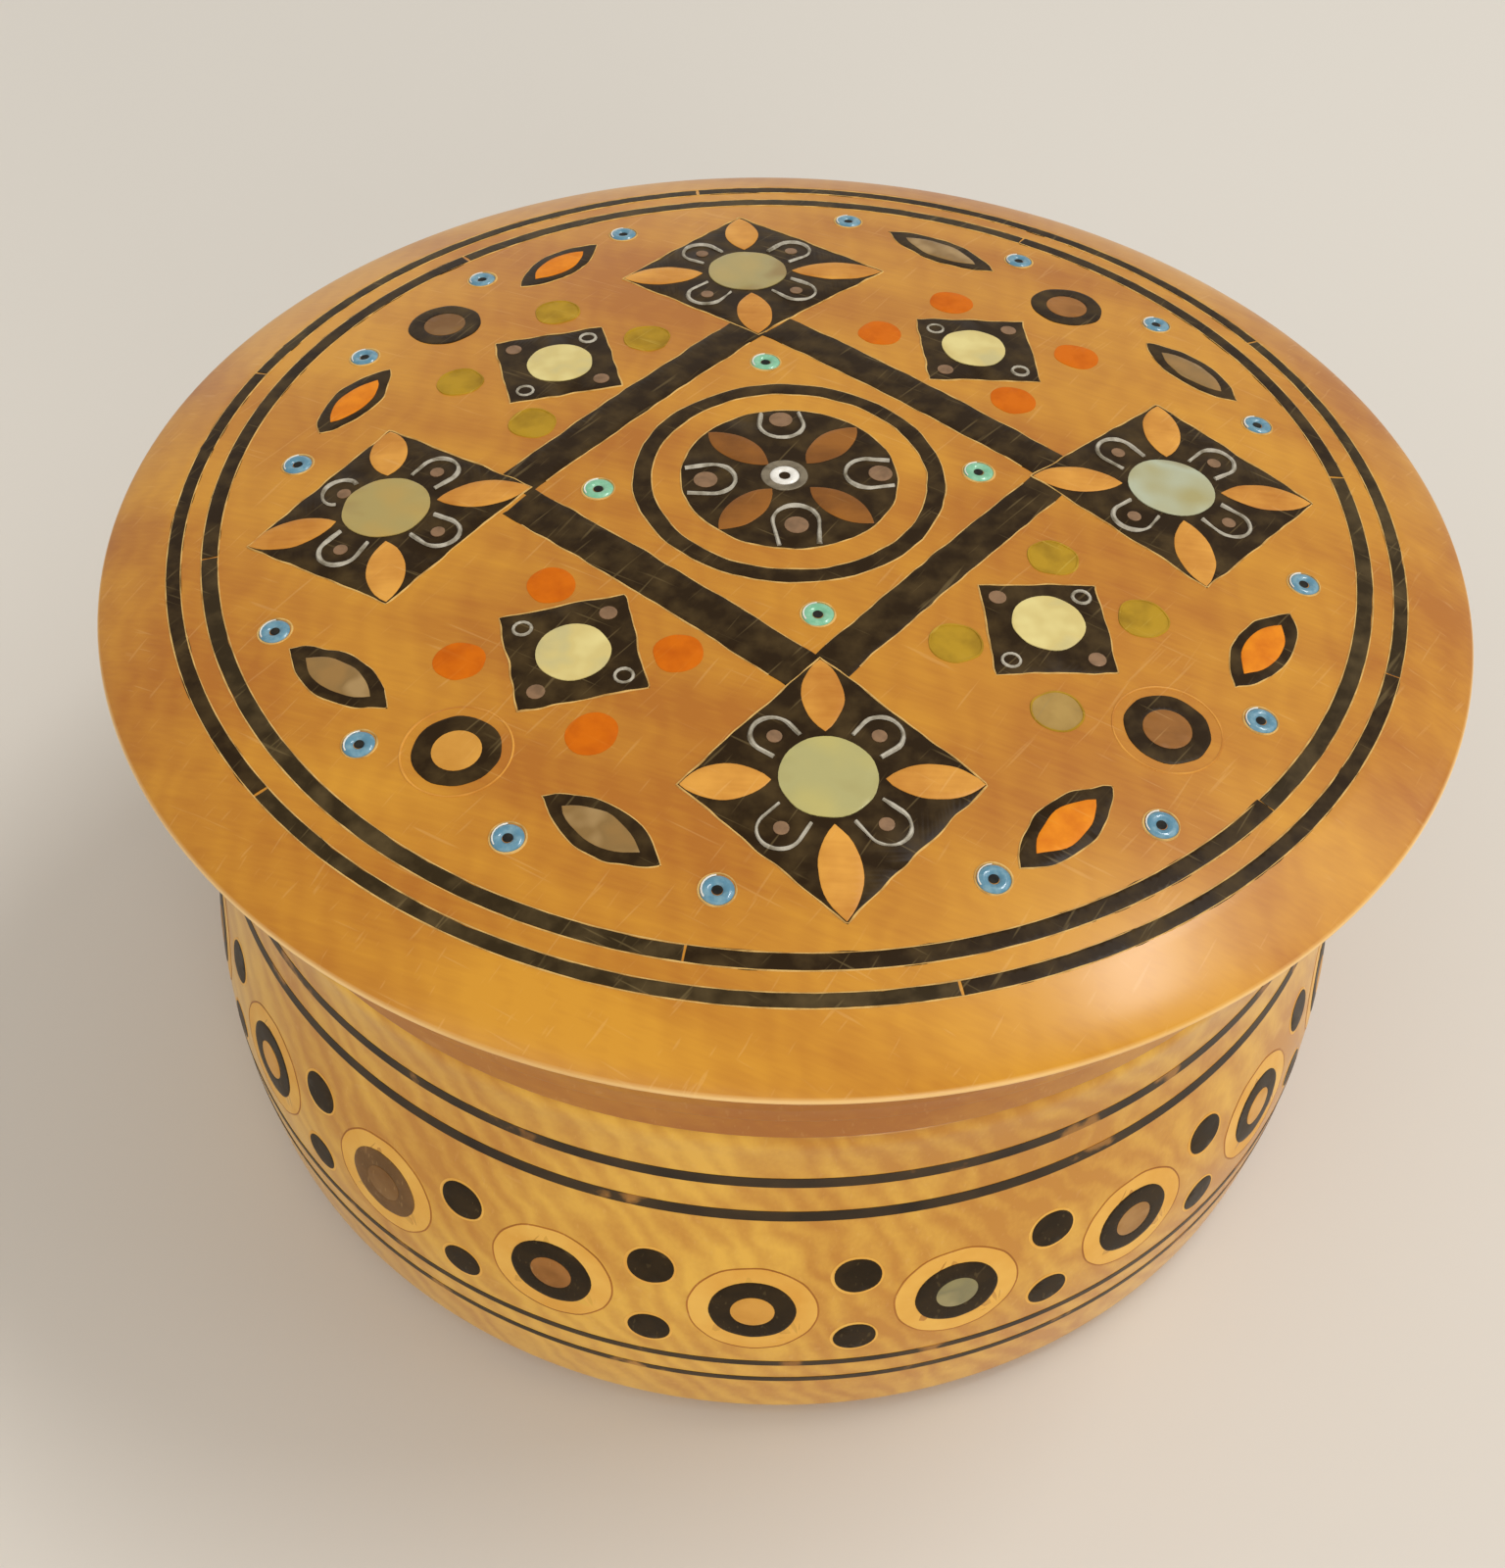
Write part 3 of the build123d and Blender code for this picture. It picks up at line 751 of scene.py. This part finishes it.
# %% Rosettes
rosettes = {
    "right": ((33.78, -1.18), ((21.27, 0.02), (33.99, -14.07), (46.57, -2.39), (35.27, 11.15)), blue_pearl),
    "back": ((-0.86, 34.61), ((-0.80, 22.43), (12.67, 34.02), (-0.72, 46.36), (-13.25, 34.14)), dull_pearl),
    "left": ((-34.94, 0.22), ((-22.31, 1.06), (-34.99, 11.22), (-46.79, -2.75), (-34.49, -11.94)), brown_pearl),
    "front": ((-0.22, -33.80), ((0.35, -21.70), (-11.84, -33.69), (-0.19, -46.98), (11.91, -35.10)), grey_pearl),
}
PETAL_START, PEARL_RADIUS = 4.4, 3.85
ground_outlines, petal_outlines, pearl_outlines, wire_lines, pin_outlines = [], [], {}, [], []
for centre, corners, pearl in rosettes.values():
    ground_outlines.append(on_lid(hand_cut(list(corners), 0.1, 0.5, seed=centre[0])))
    pearl_outlines.setdefault(pearl.name, []).append(
        on_lid(hand_cut(disc(*centre, PEARL_RADIUS), 0.06, 0.6, seed=centre[1]))
    )
    for i, corner in enumerate(corners):
        dx, dy = corner[0] - centre[0], corner[1] - centre[1]
        reach = hypot(dx, dy)
        direction = atan2(dy, dx)
        length = reach - 0.2 - PETAL_START
        middle = PETAL_START + length / 2
        petal = leaf(*spot_at(*centre, middle, direction), length, 3.4, direction)
        petal_outlines.append(on_lid(hand_cut(petal, 0.05, 0.6, seed=reach)))
        beside = corners[(i + 1) % 4]
        out_angle = atan2((corner[1] + beside[1]) / 2 - centre[1], (corner[0] + beside[0]) / 2 - centre[0])
        side = hypot(beside[0] - corner[0], beside[1] - corner[1])
        room = abs(dx * (beside[1] - centre[1]) - dy * (beside[0] - centre[0])) / side
        apex = min(6.3, room - 2.4)
        wire_lines.append(bent_wire(*centre, out_angle, 4.3, 3.0, apex, 1.75))
        pin_outlines.append(on_lid(disc(*spot_at(*centre, apex - 0.2, out_angle), 0.62, 16)))
inlay("rosette_ebony", ground_outlines, ebony, 1.6, 0.04, "ebony", "rosette_grounds")
laid("rosette_glue", ground_outlines, glue, 0.075, 0.01, "box_wood", seed=5.0)
inlay("rosette_petal_set", petal_outlines, petal_wood, 0.9, 0.08, "light_wood", "rosette_petals")
for pearl_name, outlines in pearl_outlines.items():
    shell_name = "rosette_" + pearl_name.replace(" ", "_")
    shell = bpy.data.materials[pearl_name]
    inlay(shell_name, outlines, shell, 0.9, 0.12, "mother_of_pearl", "rosette_pearls", edge=0.1)
laid("rosette_wires", wire_lines, silver, 0.18, 0.06, "silver", uneven=0.5, closed=False, seed=2.0)
inlay("rosette_pins", pin_outlines, pin_metal, 0.6, 0.09, "brown_wood")

# %% [markdown]
# ## The roundel in the middle
# A ring, then a disc with four brown petals on the diagonals. The wires here are the other way
# round: each U opens outwards and holds a larger pin. A white glass bead in a silver collar
# marks the centre.

# %% Middle roundel
hub = (0.0, 0.4)
ring_outer = on_lid(hand_cut(disc(*hub, 13.6, 90), 0.08, 1.0, 1.0))
ring_inner = on_lid(hand_cut(disc(*hub, 12.0, 90), 0.08, 1.0, 2.0))
disc_outline = on_lid(hand_cut(disc(*hub, 9.5, 70), 0.08, 1.0, 3.0))
inlay("middle_ring", [ring_outer, ring_inner], ebony, 0.8, 0.04, "ebony", "centre_ring")
inlay("middle_disc", [disc_outline], ebony, 1.6, 0.04, "ebony", "centre_disc")
laid("middle_glue", [ring_outer, ring_inner, disc_outline], glue, 0.065, 0.0, "box_wood")
middle_petals = []
for k in range(4):
    direction = radians(45 + 90 * k)
    petal = leaf(*spot_at(*hub, 5.85, direction), 7.1, 3.1, direction)
    middle_petals.append(on_lid(hand_cut(petal, 0.05, 0.6, k)))
inlay("middle_petals", middle_petals, brown_petal_wood, 0.9, 0.07, "brown_wood", "centre_petals")
middle_wires, middle_pins = [], []
for angle, apex, pin_at in ((0, 4.9, 8.0), (90, 5.4, 8.1), (180, 4.7, 7.3), (270, 4.0, 6.5)):
    middle_wires.append(bent_wire(*hub, radians(angle), 9.0, 3.4, apex + 2.0, 2.0))
    middle_pins.append(on_lid(disc(*spot_at(*hub, pin_at, radians(angle)), 1.05, 20)))
laid("middle_wires", middle_wires, silver, 0.19, 0.06, "silver", uneven=0.4, closed=False, seed=8.0)
inlay("middle_pins", middle_pins, pin_metal, 0.6, 0.08, "brown_wood")

# %% [markdown]
# ## Small squares, dots, eyes and leaves
# The rest of the pattern is the same work in smaller pieces. Their places are measured in the
# photograph, one by one, because the maker set them by eye.

# %% Small squares
squares = [
    ((19.7, 19.5), 10.5, -1.0, (19.40, 19.69)), ((-19.85, 19.36), 10.4, 8.5, (-19.62, 19.44)),
    ((-19.3, -19.4), 10.5, 8.0, (-19.27, -19.49)), ((19.3, -19.0), 10.0, 0.0, (19.53, -18.48)),
]
square_outlines, square_discs, corner_pins, hollow_pins = [], [], [], []
for i, (centre, side, tilt, pearl_centre) in enumerate(squares):
    square_outlines.append(on_lid(hand_cut(box_outline(*centre, side, side, radians(tilt)), 0.12, 0.5, i)))
    square_discs.append(on_lid(hand_cut(disc(*pearl_centre, 3.05), 0.06, 0.5, i)))
    for k in range(4):
        spot = spot_at(*centre, 5.0, radians(45 + 90 * k + tilt))
        (hollow_pins if (k + i) % 2 else corner_pins).append(on_lid(disc(*spot, 0.75, 16)))
inlay("square_ebony", square_outlines, ebony, 1.6, 0.04, "ebony", "square_grounds")
laid("square_glue", square_outlines, glue, 0.075, 0.0, "box_wood", seed=9.0)
inlay("square_pearl_set", square_discs, cream_pearl, 0.9, 0.12, "mother_of_pearl", "square_pearls", edge=0.1)
inlay("square_pins", corner_pins, pin_metal, 0.6, 0.08, "brown_wood")
laid("square_pin_rings", hollow_pins, silver, 0.16, 0.0, "silver", uneven=0.2)

# %% Dots
orange_spots = [
    (18.6, 28.0), (10.7, 22.3), (29.1, 18.7), (21.6, 11.2), (-20.9, -11.6), (-28.4, -19.3), (-10.9, -20.4),
    (-18.1, -28.1),
]
olive_spots = [
    (-19.7, 28.5), (-11.3, 22.7), (-28.8, 17.8), (-22.2, 10.3), (21.3, -10.7), (27.6, -17.9), (11.5, -20.6),
]
grey_spots = [(18.6, -28.0)]


def dot_outlines(spots):
    """Round dots with slightly uneven edges."""
    return [on_lid(hand_cut(disc(x, y, 2.08, 30), 0.12, 0.5, x)) for x, y in spots]


inlay(
    "orange_dot_set", dot_outlines(orange_spots), orange_paste, 1.2, 0.03, "orange_composition", "orange_dots",
    edge=0.02,
)
inlay(
    "olive_dot_set", dot_outlines(olive_spots), olive_paste, 1.2, 0.03, "olive_composition", "olive_dots", edge=0.02,
)
inlay("grey_dot", dot_outlines(grey_spots), grey_paste, 1.2, 0.03, "olive_composition", "olive_dots", edge=0.02)
laid("olive_dot_rims", dot_outlines(olive_spots + grey_spots), olive_paste, 0.1, 0.0, "olive_composition", uneven=0.5)

# %% Eyes
eyes = [
    ((30.0, 27.8), brown_plug_wood), ((-30.5, 28.1), grey_plug_wood), ((-28.5, -28.6), light_plug_wood),
    ((27.1, -29.8), brown_plug_wood),
]
eye_rings = []
for spot, _ in eyes:
    eye_rings += [on_lid(hand_cut(disc(*spot, 3.5, 44), 0.08, 0.5, spot[0])), on_lid(disc(*spot, 1.95, 30))]
inlay("eye_ring_set", eye_rings, ebony, 1.2, 0.04, "ebony", "eye_rings")
for number, (spot, wood) in enumerate(eyes, start=1):
    inlay(
        f"eye_plug_{number}", [on_lid(disc(*spot, 1.98, 30))], wood, 1.2, 0.06, "brown_wood", "eye_plugs", edge=0.06,
    )
halos = [on_lid(disc(*spot, 4.4, 60)) for spot, _ in eyes[2:]]
laid("eye_halos", halos, petal_wood, 0.1, -0.03, "light_wood", uneven=0.35, seed=4.0)

# %% Leaves
leaves = [
    ((-38.5, 16.6), 10.9, -10.5, "orange"), ((-19.4, 37.9), 10.7, 18.8, "orange"),
    ((19.1, 38.6), 12.7, -15.5, "pearl"), ((40.0, 17.1), 11.4, 12.8, "pearl"), ((37.1, -21.0), 11.1, -9.7, "orange"),
    ((17.3, -39.1), 11.1, 17.9, "orange"), ((-17.7, -37.3), 11.3, -14.9, "pearl"),
    ((-38.1, -19.6), 11.3, 19.5, "pearl"),
]
border_outlines, insert_outlines = [], {"orange": [], "pearl": []}
for (x, y), length, tilt, stuff in leaves:
    direction = atan2(y, x) + pi / 2 + radians(tilt)
    insert = on_lid(hand_cut(leaf(x, y, length * 0.66, 2.9, direction), 0.08, 0.5, x))
    border_outlines.append(on_lid(hand_cut(leaf(x, y, length, 4.6, direction), 0.12, 0.5, y)))
    insert_outlines[stuff].append(insert)
inlay("leaf_ebony", border_outlines, ebony, 1.2, 0.04, "ebony", "leaf_borders")
laid("leaf_glue", border_outlines, glue, 0.06, 0.0, "box_wood", seed=12.0)
inlay("leaf_orange", insert_outlines["orange"], orange_leaf_paste, 1.2, 0.07, "orange_composition", "orange_leaves")
inlay("leaf_pearl", insert_outlines["pearl"], leaf_pearl, 1.2, 0.07, "mother_of_pearl", "pearl_leaves")

# %% [markdown]
# ## Seed beads set on end
# A seed bead pushed into a drilled hole shows its end: a ring of glass round a dark hole. A
# third tree puts a small ring at each drilled spot and leans it with the dome. The shade in the
# hole is painted: a dark disc inside the ring.

# %% Tree: beads on the dome
bead_tree, b_in, b_out = new_tree(
    "beads on the dome", "GeometryNodeTree",
    [
        ("Spots", "Geometry"), ("Ring Radius", "Float", 0.9 * MM), ("Glass Radius", "Float", 0.45 * MM),
        ("Height", "Float", -0.2 * MM), ("Material", "Material"),
    ],
    [("Beads", "Geometry")],
)
round_path = made(bead_tree, "CurvePrimitiveCircle", {"Resolution": 36, "Radius": b_in["Ring Radius"]})
section = made(bead_tree, "CurvePrimitiveCircle", {"Resolution": 16, "Radius": b_in["Glass Radius"]})
ring = made(bead_tree, "CurveToMesh", {"Curve": round_path, "Profile Curve": section})
spots, apart = raised(bead_tree, b_in["Spots"], b_in["Height"])
lean = made(
    bead_tree, "ShaderNodeCombineXYZ",
    {
        0: maths(bead_tree, "MULTIPLY", apart[0], 2 * DOME_FALL),
        1: maths(bead_tree, "MULTIPLY", apart[1], 2 * DOME_FALL), 2: 1.0,
    },
)
facing = made(bead_tree, "FunctionNodeAlignRotationToVector", {"Vector": lean}, axis="Z")
set_beads = made(bead_tree, "InstanceOnPoints", {"Points": spots, "Instance": ring, "Rotation": facing})
dressed(bead_tree, set_beads, b_in["Material"], b_out["Beads"])

# %% Glass and the beads
blue_glass = mottled("blue glass", (84, 132, 154), (122, 160, 172), 1400.0, 0.25, worn=0.0, coat=0.4)
green_glass = mottled("green glass", (116, 180, 142), (148, 198, 164), 1400.0, 0.25, worn=0.0, coat=0.4)
white_glass = mottled("white glass", (236, 232, 222), (214, 208, 196), 1400.0, 0.25, worn=0.0, coat=0.4)
# Painted shade: the dark discs in the beads' holes.
painted_hole_shade = mottled("bead hole", (30, 30, 28), (52, 50, 44), 1400.0, 0.6, worn=0.0)

blue_spots = [
    (43.8, 169.7), (44.8, 147.9), (45.2, 126.7), (45.5, 106.3), (46.3, 76.9), (45.6, 53.9), (46.0, 33.3),
    (45.2, 11.3), (44.7, -17.0), (45.3, -39.4), (46.2, -57.7), (45.0, -75.8), (44.4, -102.2), (44.7, -123.4),
    (45.0, -143.3), (45.6, -162.7),
]
blue_points = on_lid([spot_at(0, 0, r, radians(a)) for r, a in blue_spots])
green_points = on_lid([(16.7, 0.5), (-0.55, 17.7), (-16.6, 0.1), (0.7, -16.9)])
white_points = on_lid([(-0.4, 0.5)])

GLASS_PROUD = 0.2


def beads(name, points, glass, outer, hole, body_slot, *nodes):
    """Glass rings at drilled spots, each with a dark disc of painted shade in its hole."""
    thick = (outer - hole) / 2
    values = {
        "Ring Radius": (hole + thick) * MM, "Glass Radius": thick * MM, "Height": (GLASS_PROUD - thick) * MM,
        "Material": glass,
    }
    finish_piece(run_tree(drawn(name, [[p] for p in points], False), bead_tree, values), "lid", body_slot, *nodes)
    # A dark disc of painted shade fills each bead's hole.
    dark = [disc(x, y, hole + 0.14, 20) for x, y in points]
    inlay(f"{name}_holes", dark, painted_hole_shade, 0.8, 0.03, body_slot, edge=0)


beads("blue_bead_set", blue_points, blue_glass, 1.45, 0.28, "blue_glass", "blue_beads")
beads("green_bead_set", green_points, green_glass, 1.5, 0.28, "green_glass", "green_beads")
beads("white_bead", white_points, white_glass, 1.45, 0.34, "white_glass", "centre_bead")
collar_rings = [hand_cut(disc(*white_points[0], r, 40), 0.03, 0.4, r) for r in (2.05, 1.3)]
inlay("bead_collar", collar_rings, collar_metal, 1.0, 0.1, "silver", "centre_collar")
bead_seats = [disc(x, y, 1.42, 40) for x, y in blue_points + green_points]
laid("bead_glue", bead_seats, glue, 0.09, 0.0, "box_wood", seed=3.0)
# Painted highlight: a thin arc of white glass over the same side of every bead.
painted_glint_arcs = [[spot_at(x, y, 1.2, radians(a)) for a in range(95, 216, 8)] for x, y in blue_points + green_points]
laid("bead_lit_sides", painted_glint_arcs, white_glass, 0.06, 0.15, "white_glass", uneven=0.4, closed=False, seed=6.0)

# %% [markdown]
# ## Round the bowl
# The bowl's band is one roundel and one pair of dots, repeated. Each shape is cut flat, as
# before, then pressed on to the belly: its height goes along the profile and its width round
# it. A last tree sets copies round the axis, at the angles that are picked for each wood.

# %% The bowl's side as a path
side_path = [Vector(p) for p in [bowl_side[0]] + bow(bowl_side, 400)]
side_length = [0.0]
for a, b in zip(side_path, side_path[1:]):
    side_length.append(side_length[-1] + (b - a).length)


def side_at(length):
    """Radius, height and outward normal at a distance along the side from the mouth."""
    i = min(range(len(side_length)), key=lambda k: abs(side_length[k] - length))
    i = max(1, min(len(side_path) - 2, i))
    run = (side_path[i + 1] - side_path[i - 1]).normalized()
    near = side_path[i] + run * (length - side_length[i])
    return near, Vector((-run.y, run.x))


def length_at(height):
    """Distance along the side from the mouth to a height."""
    i = min(range(len(side_path)), key=lambda k: abs(side_path[k].y - height))
    return side_length[i]


def pressed(name, outlines, material, height, depth=1.0, proud=0.04, edge=0.05):
    """Cut flat outlines and press them on to the bowl's side at its +X end."""
    piece = run_tree(
        drawn(name, outlines), let_in,
        {"Depth": depth * MM, "Proud": proud * MM, "Follow Dome": 0.0, "Material": material},
    )
    start = length_at(height)
    for vertex in piece.data.vertices:
        u, v, w = vertex.co / MM
        near, normal = side_at(start - v)
        radius = near.x + w * normal.x
        angle = u / near.x
        vertex.co = Vector((radius * cos(angle), radius * sin(angle), near.y + w * normal.y)) * MM
    return soften(piece, edge) if edge else piece


# %% Tree: set round the axis
round_tree, r_in, r_out = new_tree(
    "set round the axis", "GeometryNodeTree",
    [
        ("Piece", "Geometry"), ("Count", "Int", 20), ("First Angle", "Float", 0.0), ("Step", "Float", radians(18)),
        ("Material", "Material"),
    ],
    [("Copies", "Geometry")],
)
points = made(round_tree, "Points", {"Count": r_in["Count"]})
index = made(round_tree, "InputIndex")
angle = maths(round_tree, "ADD", r_in["First Angle"], maths(round_tree, "MULTIPLY", index, r_in["Step"]))
spin = made(round_tree, "ShaderNodeCombineXYZ", {2: angle})
spin = made(round_tree, "FunctionNodeEulerToRotation", {0: spin})
copies = made(round_tree, "InstanceOnPoints", {"Points": points, "Instance": r_in["Piece"], "Rotation": spin})
dressed(round_tree, copies, r_in["Material"], r_out["Copies"])


def round_bowl(name, outlines, material, height, depth, proud, first, slot, *nodes, count=20, step=18.0, edge=0.05):
    """Press a piece on to the bowl, set copies of it at equal steps in degrees, and finish it."""
    piece = pressed(name, outlines, material, height, depth, proud, edge)
    values = {"Count": count, "First Angle": radians(first), "Step": radians(step), "Material": material}
    finish_piece(run_tree(piece, round_tree, values), "bowl", slot, *nodes)


# %% Roundels and dots
FIRST, STEP, ROUNDEL_HEIGHT, BAND_RADIUS = -145.1, 18.0, 20.6, 5.5
plug_kinds = {
    0: light_plug_wood, 1: grey_plug_wood, 2: brown_plug_wood, 3: light_plug_wood, 4: plug_pearl, 5: copper_plug_wood,
    6: light_plug_wood,
}
plug_slots = {light_plug_wood.name: "light_wood", plug_pearl.name: "mother_of_pearl"}
plug_nodes = {light_plug_wood.name: "light_plugs", plug_pearl.name: "pearl_plugs"}
ring_outline = [hand_cut(disc(0, 0, 3.75, 44), 0.06, 0.5, 1.0), disc(0, 0, 1.85, 30)]
every_seventh = {"step": STEP * 7}
for kind, wood in plug_kinds.items():
    every_seventh["count"] = len(range(kind, 20, 7))
    first = FIRST + STEP * kind
    ring_stuff = faded_ring_wood if kind == 1 else bowl_ebony
    ring_as = (ring_stuff, ROUNDEL_HEIGHT, 1.2, 0.05, first, "ebony", "roundel_rings")
    round_bowl(f"roundel_ring_{kind + 1}", ring_outline, *ring_as, **every_seventh)
    slot, cad_node = plug_slots.get(wood.name, "brown_wood"), plug_nodes.get(wood.name, "brown_plugs")
    plug_as = (wood, ROUNDEL_HEIGHT, 1.2, 0.07, first, slot, cad_node)
    round_bowl(f"roundel_plug_{kind + 1}", [disc(0, 0, 1.88, 30)], *plug_as, **every_seventh)
band = [hand_cut(disc(0, 0, BAND_RADIUS, 60), 0.05, 0.6, 5.0)]
band_line = [hand_cut(disc(0, 0, BAND_RADIUS + edge, 60), 0.05, 0.6, 5.0) for edge in (0.12, -0.03)]
round_bowl("pale_band", band, pale_band_wood, ROUNDEL_HEIGHT, 0.3, 0.015, FIRST, "light_wood", edge=0)
round_bowl("band_line", band_line, band_line_wood, ROUNDEL_HEIGHT, 0.3, 0.02, FIRST, "light_wood", edge=0)
first = FIRST + STEP / 2
for row, height, radius in (("upper", 24.9, 2.05), ("lower", 16.6, 1.88)):
    dot = [hand_cut(disc(0, 0, radius, 30), 0.06, 0.5, height)]
    rim = [hand_cut(disc(0, 0, radius + 0.24, 30), 0.06, 0.5, radius), disc(0, 0, radius - 0.1, 30)]
    round_bowl(f"{row}_dot_row", dot, bowl_ebony, height, 1.2, 0.05, first, "ebony", "bowl_dots")
    round_bowl(f"{row}_dot_rim", rim, pale_band_wood, height, 0.3, 0.015, first, "light_wood", edge=0)

# %% [markdown]
# ## Turned lines
# Four thin black lines run round the bowl. Each is a flat hoop let into the side. They have
# worn through in places, so their material lets the wood's colour show there.

# %% Lines
worn_line, tree, shader = start_material("worn black line")
place = object_place(tree)
rub = cloud(tree, place, 160.0, 5.0)
wood = use_group(tree, figure, {"Pale": colour(196, 140, 66), "Deep": colour(150, 98, 42), "Fleck": 0.4})
black = mix_colour(tree, between(tree, rub, 0.35, 0.65), colour(38, 28, 16), colour(66, 50, 28))
shown = mix_colour(tree, between(tree, rub, 0.6, 0.66, 0.0, 0.75), black, wood["Color"])
fill(tree, shader.inputs, {"Base Color": shown, "Roughness": 0.4, "Specular IOR Level": 0.2})

for row, height, width, nodes in (
    ("upper_hoop", 36.4, 1.2, ("upper_line",)), ("second_hoop", 32.2, 1.15, ("lower_line",)),
    ("third_hoop", 12.4, 0.8, ()), ("fourth_hoop", 9.2, 0.8, ()),
):
    start = length_at(height)
    section = []
    for step_along in (-0.5, -0.17, 0.17, 0.5):
        near, normal = side_at(start + step_along * width)
        section.append(near + normal * 0.04)
    for step_along in (0.5, -0.5):
        near, normal = side_at(start + step_along * width)
        section.append(near - normal * 0.5)
    section.append(section[0])
    hoop = turned(row, [tuple(p) for p in section], worn_line)
    finish_piece(hoop, "bowl", "ebony", *nodes)

# %% [markdown]
# ## Floor and light
# A plain pale floor and soft light, set so that a colour renders about as it is written. The
# window stands at the right and high up. Its long pane gives the rim its soft highlight, and a
# low pane in front catches the bowl's rounded mouth.

# %% Floor
bpy.ops.mesh.primitive_plane_add(size=6.0)
floor = bpy.context.object
floor.name = "floor"
floor_material, tree, shader = start_material("pale floor")
fill(tree, shader.inputs, {"Base Color": colour(214, 208, 198), "Roughness": 0.7})
floor.data.materials.append(floor_material)

# %% Lamps and world
for lamp_name, energy, width, height, spot, target in (
    ("window", 3.2, 0.9, 0.9, (0.95, 0.06, 0.92), (0, 0, 0.04)),
    ("window pane", 4.6, 0.55, 0.14, (0.54, 0.2, 1.16), (0, 0, 0.05)),
    ("room", 3.9, 1.2, 1.2, (-0.5, -0.9, 1.1), (0, 0, 0.03)),
    ("low fill", 2.4, 0.6, 0.6, (0.35, -1.05, 0.38), (0, 0, 0.03)),
    ("low pane", 1.2, 0.3, 0.1, (0.42, -1.05, 0.38), (0, 0, 0.03)),
    ("far wall", 0.8, 1.0, 1.0, (-0.5, 1.6, 0.25), (0, 0, 0.03)),
):
    data = bpy.data.lights.new(lamp_name, "AREA")
    data.energy = energy
    data.shape = "RECTANGLE"
    data.size, data.size_y = width, height
    data.color = (1.0, 0.94, 0.86) if lamp_name == "room" else (1.0, 1.0, 1.0)
    lamp = new_object(lamp_name, data)
    lamp.location = spot
    lamp.visible_glossy = lamp_name != "low fill"
    lamp.rotation_euler = (Vector(target) - Vector(spot)).to_track_quat("-Z", "Y").to_euler()

world = bpy.data.worlds.new("soft room")
scene.world = world
world.use_nodes = True
world.node_tree.nodes["Background"].inputs[0].default_value = (1.0, 0.98, 0.95, 1.0)
world.node_tree.nodes["Background"].inputs[1].default_value = 0.55
scene.view_settings.view_transform = "Standard"
